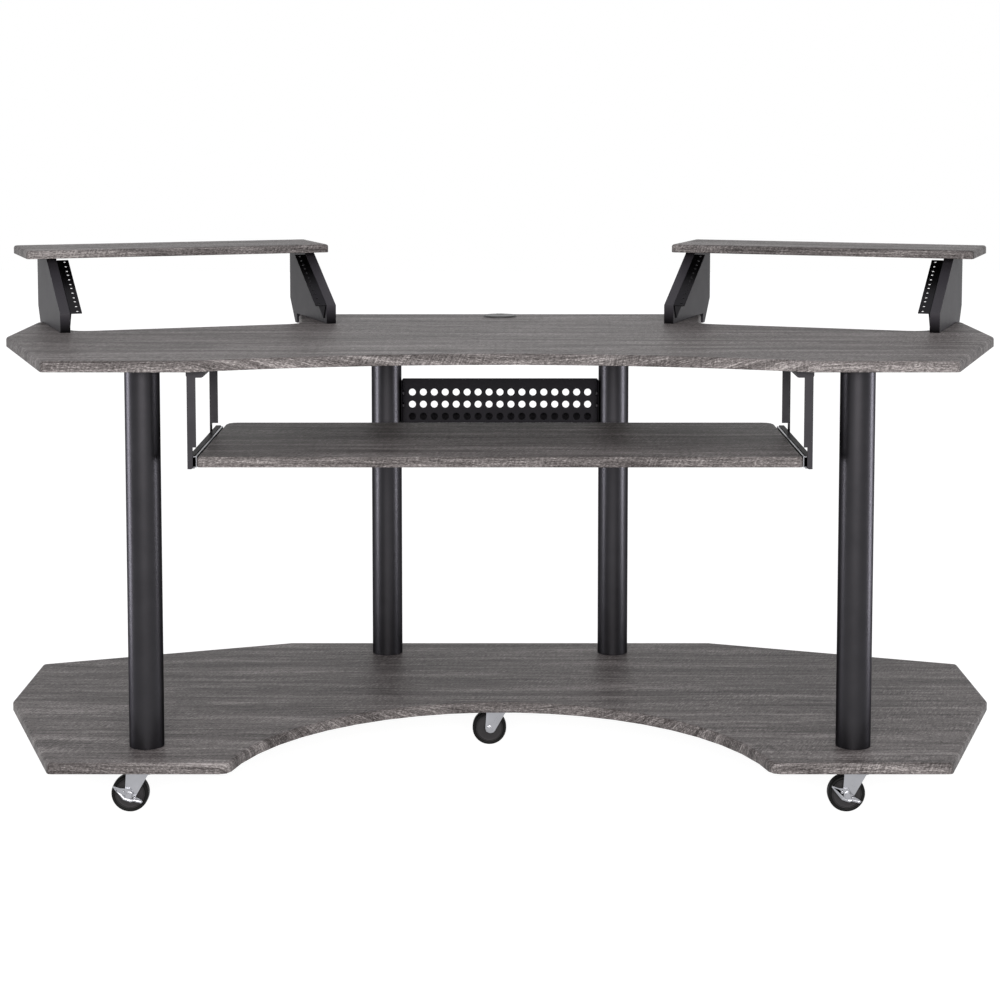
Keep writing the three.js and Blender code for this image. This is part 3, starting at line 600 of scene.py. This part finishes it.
class Wiring:
    """Adds nodes to a node tree, joins them and lays them out in a row."""

    def __init__(self, tree):
        self.tree = tree
        tree.nodes.clear()

    def add(self, kind, inputs=None, **settings):
        """A node whose inputs are linked to sockets or set to values."""
        node = self.tree.nodes.new(kind)
        node.location = (180 * len(self.tree.nodes), 0)
        for setting, value in settings.items():
            setattr(node, setting, value)
        for key, value in (inputs or {}).items():
            if isinstance(value, bpy.types.NodeSocket):
                self.tree.links.new(value, node.inputs[key])
            else:
                node.inputs[key].default_value = value
        return node

    def maths(self, operation, first, second=0.0, clamp=False):
        """The result of a calculation."""
        node = self.add(
            "ShaderNodeMath", {0: first, 1: second}, operation=operation, use_clamp=clamp)
        return node.outputs[0]

    def noise(self, vector, stretch, scale=1.0, detail=2.0, roughness=0.5):
        """Noise on coordinates that are stretched first."""
        stretched = self.add(
            "ShaderNodeVectorMath", {0: vector, 1: stretch}, operation="MULTIPLY").outputs[0]
        return self.add("ShaderNodeTexNoise", {
            "Vector": stretched, "Scale": scale, "Detail": detail, "Roughness": roughness,
        }).outputs["Fac"]

    def swing(self, value, weight):
        """A pattern's distance from a half times a weight."""
        return self.maths("MULTIPLY", self.maths("SUBTRACT", value, 0.5), weight)

    def weigh(self, *parts):
        """A half plus each pattern's distance from a half times its weight."""
        total = 0.5
        for value, weight in parts:
            total = self.maths("ADD", self.swing(value, weight), total)
        return total

    def between(self, value, low, high, start=0.0, end=1.0):
        """Map a value smoothly from one range to another."""
        return self.add("ShaderNodeMapRange", {
            "Value": value, "From Min": low, "From Max": high, "To Min": start, "To Max": end,
        }, interpolation_type="SMOOTHSTEP").outputs["Result"]

    def blend(self, share, first, second):
        """Mix two colours."""
        return self.add(
            "ShaderNodeMix", {0: share, 6: first, 7: second}, data_type="RGBA").outputs[2]

    def close(self, shading, depth, constants):
        """Join a pattern's colour, roughness and relief to a Principled shader and the output."""
        relief = self.add("ShaderNodeBump", {
            "Height": shading["Height"], "Strength": 1.0, "Distance": depth}).outputs["Normal"]
        shader = self.add("ShaderNodeBsdfPrincipled", {
            "Base Color": shading["Color"], "Roughness": shading["Roughness"], "Normal": relief,
            **constants})
        self.add("ShaderNodeOutputMaterial", {"Surface": shader.outputs[0]})


def new_group(name, inputs):
    """An empty pattern group, its wiring and the outputs of its input node."""
    group = bpy.data.node_groups.new(name, "ShaderNodeTree")
    for label, kind, value in inputs:
        socket = group.interface.new_socket(label, in_out="INPUT", socket_type=kind)
        if value is not None:
            socket.default_value = value
    for label, kind in (
            ("Color", "NodeSocketColor"), ("Roughness", "NodeSocketFloat"),
            ("Height", "NodeSocketFloat")):
        group.interface.new_socket(label, in_out="OUTPUT", socket_type=kind)
    wiring = Wiring(group)
    return group, wiring, wiring.add("NodeGroupInput").outputs


def printed_oak():
    """Grey-brown oak print: bands, streaks, pores, flecks and sawn marks along the grain.

    A noise's stretch is how often it changes in a metre, along and across the grain."""
    known = bpy.data.node_groups.get("Printed Oak")
    if known:
        return known
    group, wiring, given = new_group("Printed Oak", [
        ("Vector", "NodeSocketVector", None),
        ("Dark", "NodeSocketColor", (0.06, 0.05, 0.05, 1)),
        ("Middle", "NodeSocketColor", (0.18, 0.16, 0.15, 1)),
        ("Light", "NodeSocketColor", (0.33, 0.3, 0.29, 1)),
    ])
    # Grain that wanders sideways
    wander = wiring.noise(given["Vector"], (1.6, 5.0, 1.0))
    offset = wiring.add("ShaderNodeCombineXYZ", {"Y": wiring.swing(wander, 0.05)}).outputs[0]
    grain = wiring.add("ShaderNodeVectorMath", {0: given["Vector"], 1: offset}).outputs[0]
    # Tone, from broad bands to fine fibres, with thin dark ring lines
    bands = wiring.noise(grain, (2.0, 25.0, 1.0))
    plies = wiring.noise(grain, (3.0, 75.0, 1.0), detail=3.0, roughness=0.6)
    streaks = wiring.noise(grain, (14.0, 330.0, 1.0), detail=3.0, roughness=0.7)
    fine = wiring.noise(grain, (190.0, 480.0, 1.0), roughness=0.7)
    tone = wiring.weigh((bands, 0.75), (plies, 0.75), (streaks, 1.0), (fine, 1.3))
    rings = wiring.maths("PINGPONG", wiring.maths("MULTIPLY", bands, 9.0), 0.5)
    lines = wiring.between(rings, 0.0, 0.09, 1.0, 0.0)
    tone = wiring.maths("SUBTRACT", tone, wiring.maths("MULTIPLY", lines, 0.1))
    # Sawn marks that cross the grain at a slant, stronger in patches
    slant = wiring.add(
        "ShaderNodeVectorRotate", {"Vector": given["Vector"], "Angle": 0.35},
        rotation_type="Z_AXIS")
    sawn = wiring.noise(slant.outputs[0], (330.0, 40.0, 1.0))
    patches = wiring.between(
        wiring.noise(given["Vector"], (3.4, 16.0, 1.0), detail=1.0), 0.5, 0.66, 0.4, 1.0)
    sawn_marks = wiring.swing(sawn, patches)
    tone = wiring.maths("ADD", tone, wiring.maths("MULTIPLY", sawn_marks, 0.9))
    # Pores and light flecks over the three tones
    pores = wiring.between(wiring.noise(grain, (55.0, 1100.0, 1.0), detail=1.0), 0.58, 0.7)
    flecks = wiring.between(wiring.noise(grain, (120.0, 620.0, 1.0), detail=1.0), 0.62, 0.74)
    low = wiring.between(tone, 0.2, 0.5)
    high = wiring.between(tone, 0.5, 0.84)
    base = wiring.blend(high, wiring.blend(low, given["Dark"], given["Middle"]), given["Light"])
    base = wiring.blend(wiring.maths("MULTIPLY", pores, 0.7), base, given["Dark"])
    base = wiring.blend(wiring.maths("MULTIPLY", flecks, 0.45), base, given["Light"])
    relief = wiring.maths("SUBTRACT", wiring.maths("MULTIPLY", fine, 0.7), pores)
    gloss = wiring.maths("ADD", wiring.maths("MULTIPLY", pores, 0.15), 0.48)
    wiring.add("NodeGroupOutput", {"Color": base, "Roughness": gloss, "Height": relief})
    return group


def fine_texture():
    """Small dimples over a slow mottle, for coats, plate, plastic and rubber."""
    known = bpy.data.node_groups.get("Fine Texture")
    if known:
        return known
    group, wiring, given = new_group("Fine Texture", [
        ("Vector", "NodeSocketVector", None),
        ("Color", "NodeSocketColor", (0.5, 0.5, 0.5, 1)),
        ("Scale", "NodeSocketFloat", 1200.0),
        ("Mottle", "NodeSocketFloat", 0.1),
        ("Roughness", "NodeSocketFloat", 0.4),
    ])
    even = (1.0, 1.0, 1.0)
    dimples = wiring.noise(given["Vector"], even, given["Scale"], roughness=0.6)
    clouds = wiring.noise(given["Vector"], even, scale=28.0, detail=3.0, roughness=0.6)
    slow = wiring.swing(clouds, given["Mottle"])
    level = wiring.maths("ADD", slow, 1.0)
    shade = wiring.add(
        "ShaderNodeVectorMath", {0: given["Color"], "Scale": level}, operation="SCALE")
    gloss = wiring.maths("ADD", given["Roughness"], wiring.maths("MULTIPLY", slow, 0.6))
    gloss = wiring.maths("ADD", gloss, wiring.swing(dimples, 0.08), clamp=True)
    wiring.add(
        "NodeGroupOutput", {"Color": shade.outputs[0], "Roughness": gloss, "Height": dimples})
    return group


def new_finish(name):
    """An empty material with its wiring."""
    material = bpy.data.materials.new(name)
    material.use_nodes = True
    return material, Wiring(material.node_tree)


def material_for(finish):
    """The material of one of the record's slots or of a look, made when first needed."""
    known = bpy.data.materials.get("desk_" + finish)
    if known:
        return known
    scene = bpy.context.scene
    material, wiring = new_finish("desk_" + finish)
    if finish == "oak_laminate":
        boards = scene.desk_boards
        foil = wiring.add("ShaderNodeUVMap", uv_map="foil").outputs["UV"]
        pattern = wiring.add("ShaderNodeGroup", {
            "Vector": foil, "Dark": (*boards.oak_dark, 1), "Middle": (*boards.oak_middle, 1),
            "Light": (*boards.oak_light, 1),
        }, node_tree=printed_oak())
        depth, constants = FOIL_RELIEF, {"Specular IOR Level": FOIL_GLOSS}
    else:
        settings, tone, scale, mottle, roughness, depth, constants = FINISHES[finish]
        place = wiring.add("ShaderNodeTexCoord").outputs["Object"]
        pattern = wiring.add("ShaderNodeGroup", {
            "Vector": place, "Color": (*getattr(getattr(scene, settings), tone), 1),
            "Scale": scale, "Mottle": mottle, "Roughness": roughness,
        }, node_tree=fine_texture())
    wiring.close(pattern.outputs, depth, constants)
    return material


# Operators

class DESK_OT_boards(bpy.types.Operator):
    """Make the desktop, the bottom shelf and the keyboard tray as foil-wrapped boards"""

    bl_idname = "desk.boards"
    bl_label = "Boards"
    bl_options = UNDOABLE

    def execute(self, context):
        settings = context.scene.desk_boards
        for name, label, body, start in (
                ("desktop", "desktop_board", "desk_frame", (0, 0)),
                ("bottom_shelf", "bottom_shelf_board", "desk_frame", (0.6, 2.3)),
                ("keyboard_tray", "keyboard_tray_board", "keyboard_tray", (3.1, 1.4))):
            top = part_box(name)[1].z
            radius = settings.thin_radius if name == "keyboard_tray" else settings.top_radius
            bm = slab(name, Z_AXIS, middle_of(name).z, radius, settings.under_radius)
            board = make_piece(label, bm, "oak_laminate", body, [name])
            if name == "desktop":
                centre = Matrix.Translation(at_level(middle_of("grommet_liner"), top))
                subtract(board, rod(GROMMET_BORE, CUT_DEPTH, centre, segments=64))
            lay_foil(board, top, start)
        return {"FINISHED"}


class DESK_OT_riser_shelves(bpy.types.Operator):
    """Make the two riser shelves, with the foil laid along each rack"""

    bl_idname = "desk.riser_shelves"
    bl_label = "Riser Shelves"
    bl_options = UNDOABLE

    def execute(self, context):
        settings = context.scene.desk_boards
        for label, side in SIDES:
            name = "riser_shelf_" + label
            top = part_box(name)[1].z
            bm = slab(name, Z_AXIS, top - SHELF_CUT, settings.thin_radius, settings.under_radius)
            board = make_piece("riser_board_" + label, bm, "oak_laminate", "desk_frame", [name])
            lay_foil(board, top, (side, 5.2), side * WING)
        return {"FINISHED"}


class DESK_OT_riser_panels(bpy.types.Operator):
    """Make the four side panels of the risers"""

    bl_idname = "desk.riser_panels"
    bl_label = "Riser Panels"
    bl_options = UNDOABLE

    def execute(self, context):
        radius = context.scene.desk_boards.panel_radius
        for label, side in SIDES:
            axis = along_riser(side)
            for spot in PANELS:
                name = f"riser_panel_{label}_{spot}"
                bm = slab(name, axis, reach(name, axis)[0] + PANEL_CUT, radius, radius)
                make_piece(
                    f"side_panel_{label}_{spot}", bm, "charcoal_panel", "desk_frame", [name])
        return {"FINISHED"}


class DESK_OT_rack_rails(bpy.types.Operator):
    """Make the four rack rails with twelve round holes each and their screws"""

    bl_idname = "desk.rack_rails"
    bl_label = "Rack Rails"
    bl_options = UNDOABLE

    def execute(self, context):
        settings = context.scene.desk_steel
        slope = Matrix.Translation((0, 0, RAIL_TOP)) @ Matrix.Rotation(SLOPE, 4, "X")
        for label, side in SIDES:
            rack = riser_place(side) @ slope
            for spot, along, inward in (("outer", 0.0, 1), ("inner", RAIL_SPACING, -1)):
                place = (rack @ Matrix.Translation((side * along, 0, 0))
                         @ Matrix.Scale(side * inward, 4, X_AXIS))
                bm = self.holes(settings.rack_hole)
                corner = fold_out(
                    bm, border(bm, X_AXIS, -RAIL_EDGE), X_AXIS * (RAIL_WALL + RAIL_EDGE))
                fold_out(bm, corner, Z_AXIS * -RAIL_DEPTH)
                bmesh.ops.transform(bm, verts=bm.verts, matrix=place)
                face_sheet(bm, place.to_3x3() @ Z_AXIS)
                make_piece(
                    f"rack_angle_{label}_{spot}", bm, "black_steel", "desk_frame",
                    [f"rack_rail_{label}_{spot}"], sheet=RAIL_SHEET, edge=settings.fold)
                out = (place.to_3x3() @ X_AXIS).normalized()
                screws = [
                    bolt(
                        place @ Vector((RAIL_WALL + RAIL_SHEET, -down, -RAIL_SCREW_DEPTH)), out,
                        head=3.6 * MM, height=2 * MM)
                    for down in RAIL_SCREWS]
                make_piece(
                    f"rail_screws_{label}_{spot}", gather(screws), "black_steel", "desk_frame")
        return {"FINISHED"}

    def holes(self, radius):
        """The face of a rail, down from its first hole."""
        bm = bmesh.new()
        for unit in range(RACK_UNITS):
            for number in range(UNIT_HOLES):
                down = unit * (2 * HOLE_STEP + UNIT_GAP) + number * HOLE_STEP
                above = (UNIT_GAP if number == 0 else HOLE_STEP) / 2
                below = (UNIT_GAP if number == UNIT_HOLES - 1 else HOLE_STEP) / 2
                perforated_cell(
                    bm, Vector((0, -down, 0)), radius, Vector((-RAIL_EDGE, -down - below, 0)),
                    Vector((RAIL_EDGE, -down + above, 0)))
        bmesh.ops.remove_doubles(bm, verts=bm.verts, dist=TOUCH)
        return bm


class DESK_OT_columns(bpy.types.Operator):
    """Make the four round columns with rounded rims and sunk end plates"""

    bl_idname = "desk.columns"
    bl_label = "Columns"
    bl_options = UNDOABLE

    def execute(self, context):
        for corner in CORNERS:
            name = "column_" + corner
            low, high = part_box(name)
            radius = (high.x - low.x) / 2
            half = (high.z - low.z) / 2
            plate = half - COLUMN_RIM
            upper = [
                (radius, half - 3 * COLUMN_RIM),
                (radius - 0.3 * COLUMN_RIM, half - 0.3 * COLUMN_RIM),
                (radius - COLUMN_RIM, half), (radius - COLUMN_WALL, half),
                (radius - COLUMN_WALL - COLUMN_SEAM, plate), (0, plate)]
            bm = lathe(mirrored(upper), Matrix.Translation(middle_of(name)), steps=72)
            make_piece("round_column_" + corner, bm, "black_steel", "desk_frame", [name])
        return {"FINISHED"}


class DESK_OT_fasteners(bpy.types.Operator):
    """Make the tie bolts under the shelf and the screws under the desktop"""

    bl_idname = "desk.fasteners"
    bl_label = "Bolts and Screws"
    bl_options = UNDOABLE

    def execute(self, context):
        shelf_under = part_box("bottom_shelf")[0].z
        desk_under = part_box("desktop")[0].z
        for corner in CORNERS:
            name = "tie_rod_" + corner
            bm = bolt(
                at_level(middle_of(name), shelf_under), -Z_AXIS, head=7 * MM, height=5 * MM,
                shank=4 * MM, depth=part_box(name)[1].z - shelf_under)
            make_piece("tie_bolt_" + corner, bm, "zinc_steel", "desk_frame", [name])
        for label, _ in SIDES:
            for spot in PANELS:
                names = [f"panel_screw_{label}_{spot}_{end}" for end in ("front", "rear")]
                screws = [
                    bolt(
                        at_level(middle_of(name), desk_under), -Z_AXIS, head=6 * MM,
                        height=3 * MM, shank=3 * MM, depth=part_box(name)[1].z - desk_under)
                    for name in names]
                make_piece(
                    f"riser_screws_{label}_{spot}", gather(screws), "zinc_steel", "desk_frame",
                    names)
        return {"FINISHED"}


class DESK_OT_cable_trough(bpy.types.Operator):
    """Make the folded cable trough with three rows of holes and its bolts"""

    bl_idname = "desk.cable_trough"
    bl_label = "Cable Trough"
    bl_options = UNDOABLE

    def execute(self, context):
        settings = context.scene.desk_steel
        low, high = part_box("cable_trough")
        bm = self.wall(settings.trough_hole, low.z, high.z)
        end = TROUGH_COLUMNS * TROUGH_STEP / 2
        for way in (-1, 1):
            side = fold_out(
                bm, border(bm, X_AXIS, way * end), X_AXIS * way * (TROUGH_SIDE - end))
            tab = fold_out(bm, side, Y_AXIS * -TROUGH_TAB)
            tips = [
                vert for edge in tab for vert in edge.verts
                if abs(vert.co.z - low.z) < TOUCH or abs(vert.co.z - high.z) < TOUCH]
            bmesh.ops.bevel(
                bm, geom=list(set(tips)), offset=TROUGH_TAB_CORNER, segments=3, profile=0.5,
                affect="VERTICES", material=-1)
        fold_out(bm, self.behind_tabs(border(bm, Z_AXIS, high.z)), Y_AXIS * TROUGH_LIP)
        rear = fold_out(
            bm, self.behind_tabs(border(bm, Z_AXIS, low.z)), Y_AXIS * TROUGH_FLOOR)
        fold_out(bm, rear, Z_AXIS * TROUGH_REAR_LIP)
        face_sheet(bm, -Y_AXIS)
        # The trough wears a darker copy of the black steel: painted shade from the tray and
        # desktop above it
        make_piece(
            "perforated_trough", bm, "black_steel", "desk_frame", ["cable_trough"],
            sheet=TROUGH_SHEET, edge=settings.fold, look="sheet_steel")
        bolts = [
            bolt(
                Vector((way * TROUGH_SIDE, TROUGH_BOLT_Y, TROUGH_TOP_ROW - down)), -X_AXIS * way,
                head=6 * MM, height=3.5 * MM)
            for way in (-1, 1) for down in (0, TROUGH_ROW_STEP)]
        make_piece("trough_bolts", gather(bolts), "black_steel", "desk_frame")
        return {"FINISHED"}

    def wall(self, radius, low, high):
        """The trough's upright wall with its rows of holes."""
        half_cell = Vector((TROUGH_STEP / 2, TROUGH_ROW_STEP / 2, 0))
        bm = bmesh.new()
        for row in range(TROUGH_ROWS):
            for number in range(TROUGH_COLUMNS):
                hole = Vector((
                    (number - TROUGH_COLUMNS // 2) * TROUGH_STEP,
                    TROUGH_TOP_ROW - row * TROUGH_ROW_STEP, 0))
                perforated_cell(bm, hole, radius, hole - half_cell, hole + half_cell)
        bmesh.ops.remove_doubles(bm, verts=bm.verts, dist=TOUCH)
        last = TROUGH_TOP_ROW + TROUGH_ROW_STEP / 2
        first = last - TROUGH_ROWS * TROUGH_ROW_STEP
        fold_out(bm, border(bm, Y_AXIS, last), Y_AXIS * (high - last))
        fold_out(bm, border(bm, Y_AXIS, first), Y_AXIS * (low - first))
        upright = Matrix.Translation((0, TROUGH_WALL, 0)) @ Matrix.Rotation(math.pi / 2, 4, "X")
        bmesh.ops.transform(bm, verts=bm.verts, matrix=upright)
        return bm

    def behind_tabs(self, edges):
        """The edges among some that lie on the trough's wall and not on its tabs."""
        return [
            edge for edge in edges
            if all(vert.co.y > TROUGH_WALL - TOUCH for vert in edge.verts)]


class DESK_OT_tray_hangers(bpy.types.Operator):
    """Make the hangers and slides of the keyboard tray"""

    bl_idname = "desk.tray_hangers"
    bl_label = "Tray Hangers and Slides"
    bl_options = UNDOABLE

    def execute(self, context):
        fold = context.scene.desk_steel.fold
        for label, _ in SIDES:
            for node, title, finish, body, edge in (
                    ("tray_hanger_", "hanger_frame_", "black_steel", "desk_frame", fold),
                    ("slide_outer_", "slide_channel_", "black_steel", "desk_frame", fold / 2),
                    ("slide_inner_", "slide_runner_", "zinc_steel", "keyboard_tray", fold / 2)):
                make_piece(
                    title + label, cad_copy(node + label), finish, body, [node + label],
                    edge=edge)
        return {"FINISHED"}


class DESK_OT_grommet(bpy.types.Operator):
    """Make the cable grommet and its slotted cap"""

    bl_idname = "desk.grommet"
    bl_label = "Cable Grommet"
    bl_options = UNDOABLE

    def execute(self, context):
        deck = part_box("desktop")[1].z
        place = Matrix.Translation(at_level(middle_of("grommet_liner"), deck))
        ring = lathe(LINER_PROFILE, place, steps=72, ring=True)
        make_piece("grommet_ring", ring, "black_plastic", "desk_frame", ["grommet_liner"])
        cap = lathe(CAP_PROFILE, place, steps=72)
        piece = make_piece("grommet_lid", cap, "black_plastic", "grommet_cap", ["grommet_cap"])
        slot = place @ Matrix.Translation((0, SLOT_END, 0))
        subtract(piece, rod(SLOT_WIDTH / 2, CUT_DEPTH, slot, segments=32))
        mouth = bmesh.new()
        bmesh.ops.create_cube(
            mouth, size=1, matrix=slot @ Matrix.Translation((0, SLOT_MOUTH / 2, 0))
            @ Matrix.Diagonal((SLOT_WIDTH, SLOT_MOUTH, CUT_DEPTH, 1)))
        subtract(piece, mouth)
        return {"FINISHED"}


class DESK_OT_casters(bpy.types.Operator):
    """Make the plates, forks, wheels, axles and brake levers of the casters"""

    bl_idname = "desk.casters"
    bl_label = "Casters"
    bl_options = UNDOABLE

    def execute(self, context):
        for caster in CASTERS:
            self.plate(caster)
            self.fork(caster)
            self.wheel(caster)
            self.axle(caster)
        for caster in BRAKED:
            self.lever(caster)
        return {"FINISHED"}

    def plate(self, caster):
        """The top plate with its ball race, king pin and screws."""
        name = "caster_plate_" + caster
        centre = at_level(middle_of(name), 0)
        pad = slab(name, Z_AXIS, PLATE_CUT, top_radius=0.3 * MM, under_radius=0.6 * MM)
        lowest = min(vert.co.z for vert in pad.verts)
        under = [vert for vert in pad.verts if vert.co.z < PLATE_UNDER - 0.1 * MM]
        bmesh.ops.translate(pad, verts=under, vec=(0, 0, PLATE_UNDER - lowest))
        race = lathe(RACE_PROFILE, Matrix.Translation(centre), steps=48)
        pin = lathe(PIN_PROFILE, Matrix.Translation(centre), steps=32)
        screws = [
            bolt(centre + Vector((x, y, PLATE_UNDER)), -Z_AXIS, head=5 * MM, height=3 * MM)
            for x, y in PLATE_SCREWS]
        make_piece(
            "swivel_plate_" + caster, gather([pad, race, pin, *screws]), "zinc_steel",
            "desk_frame", [name])

    def fork(self, caster):
        """The pressed fork."""
        name = "caster_fork_" + caster
        make_piece(
            "pressed_fork_" + caster, cad_copy(name), "zinc_steel", "fork_" + caster, [name],
            edge=0.8 * MM)

    def lever(self, caster):
        """The brake lever with a pressed face and two rivets."""
        name = "brake_lever_" + caster
        body = "lever_" + caster
        bm = cad_copy(name)
        front = max(bm.faces, key=lambda face: face.calc_area() * -face.normal.y)
        bmesh.ops.inset_region(
            bm, faces=[front], thickness=LEVER_RIM, depth=-LEVER_SINK, use_even_offset=True)
        make_piece("pressed_lever_" + caster, bm, "zinc_steel", body, [name], edge=0.3 * MM)
        centre = middle_of("caster_axle_" + caster)
        seat = reach(name, Y_AXIS)[0] + LEVER_SINK
        rivets = [
            bolt(
                Vector((centre.x + x, seat, centre.z + z)), -Y_AXIS, head=2.4 * MM,
                height=1.6 * MM)
            for x, z in LEVER_RIVETS]
        make_piece("lever_rivets_" + caster, gather(rivets), "zinc_steel", body)

    def wheel(self, caster):
        """The tyre and the core of a wheel."""
        name = "caster_wheel_" + caster
        body = "wheel_" + caster
        place = aimed(middle_of(name), Y_AXIS)
        tyre = lathe(TYRE_PROFILE, place, steps=96, ring=True)
        make_piece("wheel_tyre_" + caster, tyre, "black_rubber", body, [name])
        core = lathe(CORE_PROFILE, place, steps=96, ring=True)
        make_piece("wheel_core_" + caster, core, "black_rubber", body, look="wheel_core")

    def axle(self, caster):
        """The axle bolt and its nut."""
        name = "caster_axle_" + caster
        low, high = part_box(name)
        middle = middle_of(name)
        front = Vector((middle.x, low.y + AXLE_HEAD, middle.z))
        back = Vector((middle.x, high.y - AXLE_NUT, middle.z))
        screw = bolt(
            front, -Y_AXIS, head=6.5 * MM, height=AXLE_HEAD, shank=4 * MM,
            depth=back.y - front.y + 1 * MM)
        nut = bolt(back, Y_AXIS, head=6.5 * MM, height=AXLE_NUT)
        make_piece(
            "axle_bolt_" + caster, gather([screw, nut]), "zinc_steel", "fork_" + caster, [name])


class DESK_OT_stage(bpy.types.Operator):
    """Make the floor, the light and the camera"""

    bl_idname = "desk.stage"
    bl_label = "Studio"
    bl_options = UNDOABLE

    def execute(self, context):
        settings = context.scene.desk_studio
        self.floor(context, settings)
        self.surroundings(context, settings)
        columns = bpy.data.collections.new("lit_by_strips")
        for corner in CORNERS:
            columns.objects.link(bpy.data.objects["round_column_" + corner])
        for name in LAMPS:
            lamp = self.lamp(context, settings, name)
            if name.endswith("strip"):
                lamp.light_linking.receiver_collection = columns
        self.camera(context)
        return {"FINISHED"}

    def floor(self, context, settings):
        """A floor that the camera sees as near white, with the desk's soft shadow."""
        bm = bmesh.new()
        bmesh.ops.create_grid(
            bm, x_segments=1, y_segments=1, size=FLOOR_HALF,
            matrix=Matrix.Translation((0, 0, -FLOOR_DROP)))
        material, wiring = new_finish("studio_floor")
        seen = self.seen_directly(wiring)
        plain = wiring.add("ShaderNodeBsdfDiffuse", {"Color": FLOOR_TONE})
        pale = wiring.add("ShaderNodeBsdfDiffuse", {"Color": (settings.floor,) * 3 + (1,)})
        glow = wiring.add("ShaderNodeEmission", {"Strength": FLOOR_WHITE - settings.floor})
        shown = wiring.add("ShaderNodeAddShader", {0: pale.outputs[0], 1: glow.outputs[0]})
        mixed = wiring.add(
            "ShaderNodeMixShader", {0: seen, 1: plain.outputs[0], 2: shown.outputs[0]})
        wiring.add("ShaderNodeOutputMaterial", {"Surface": mixed.outputs[0]})
        mesh = bpy.data.meshes.new("studio_floor")
        bm.to_mesh(mesh)
        bm.free()
        mesh.materials.append(material)
        floor = bpy.data.objects.new("studio_floor", mesh)
        context.scene.collection.objects.link(floor)

    def seen_directly(self, wiring):
        """1 where the camera, a reflection or glass sees a surface, 0 for light that it gives."""
        path = wiring.add("ShaderNodeLightPath").outputs
        mirrored_too = wiring.maths("ADD", path["Is Camera Ray"], path["Is Glossy Ray"])
        return wiring.maths("ADD", mirrored_too, path["Is Transmission Ray"], clamp=True)

    def surroundings(self, context, settings):
        """White where it is seen, and dimmer as a light."""
        world = bpy.data.worlds.new("studio")
        world.use_nodes = True
        wiring = Wiring(world.node_tree)
        seen = self.seen_directly(wiring)
        dim = wiring.add(
            "ShaderNodeBackground", {"Color": WORLD_TINT, "Strength": settings.ambient})
        white = wiring.add("ShaderNodeBackground", {"Color": (1, 1, 1, 1), "Strength": 1.0})
        mixed = wiring.add(
            "ShaderNodeMixShader", {0: seen, 1: dim.outputs[0], 2: white.outputs[0]})
        wiring.add("ShaderNodeOutputWorld", {"Surface": mixed.outputs[0]})
        context.scene.world = world

    def lamp(self, context, settings, name):
        """One of the area lamps, unseen by the camera."""
        place, target, width, height, setting, tint = LAMPS[name]
        data = bpy.data.lights.new(name, "AREA")
        data.shape = "RECTANGLE"
        data.size = width
        data.size_y = height
        data.energy = getattr(settings, setting)
        data.color = tint
        lamp = bpy.data.objects.new(name, data)
        aim = (Vector(target) - Vector(place)).to_track_quat("-Z", "Y")
        lamp.matrix_world = Matrix.Translation(place) @ aim.to_matrix().to_4x4()
        lamp.visible_camera = False
        context.scene.collection.objects.link(lamp)
        return lamp

    def camera(self, context):
        """The camera at the photograph's place."""
        data = bpy.data.cameras.new("studio_camera")
        data.sensor_width = 36
        data.lens = CAMERA_LENS
        data.shift_y = CAMERA_SHIFT
        camera = bpy.data.objects.new("studio_camera", data)
        camera.location = CAMERA_PLACE
        camera.rotation_euler = (math.radians(90) - CAMERA_DOWN, 0, 0)
        context.scene.collection.objects.link(camera)
        context.scene.camera = camera
        context.scene.view_settings.view_transform = "Standard"


OPERATORS = (
    DESK_OT_boards, DESK_OT_riser_shelves, DESK_OT_riser_panels, DESK_OT_rack_rails,
    DESK_OT_columns, DESK_OT_fasteners, DESK_OT_cable_trough, DESK_OT_tray_hangers,
    DESK_OT_grommet, DESK_OT_casters, DESK_OT_stage,
)


class DESK_PT_panel(bpy.types.Panel):
    """Sidebar panel that lists the desk's pieces and settings"""

    bl_idname = "DESK_PT_panel"
    bl_label = "Studio Desk"
    bl_space_type = "VIEW_3D"
    bl_region_type = "UI"
    bl_category = "Studio Desk"

    def draw(self, context):
        for operator in OPERATORS:
            self.layout.operator(operator.bl_idname)
        for name in SETTINGS:
            settings = getattr(context.scene, name)
            box = self.layout.box()
            for key in settings.bl_rna.properties.keys():
                if key not in ("rna_type", "name"):
                    box.prop(settings, key)


def register():
    for name, group in SETTINGS.items():
        bpy.utils.register_class(group)
        setattr(bpy.types.Scene, name, bpy.props.PointerProperty(type=group))
    for operator in OPERATORS:
        bpy.utils.register_class(operator)
    bpy.utils.register_class(DESK_PT_panel)


def unregister():
    bpy.utils.unregister_class(DESK_PT_panel)
    for operator in reversed(OPERATORS):
        bpy.utils.unregister_class(operator)
    for name, group in reversed(SETTINGS.items()):
        delattr(bpy.types.Scene, name)
        bpy.utils.unregister_class(group)


def main():
    register()
    bpy.ops.desk.boards()
    bpy.ops.desk.riser_shelves()
    bpy.ops.desk.riser_panels()
    bpy.ops.desk.rack_rails()
    bpy.ops.desk.columns()
    bpy.ops.desk.fasteners()
    bpy.ops.desk.cable_trough()
    bpy.ops.desk.tray_hangers()
    bpy.ops.desk.grommet()
    bpy.ops.desk.casters()
    bpy.ops.desk.stage()


if __name__ == "__main__":
    main()
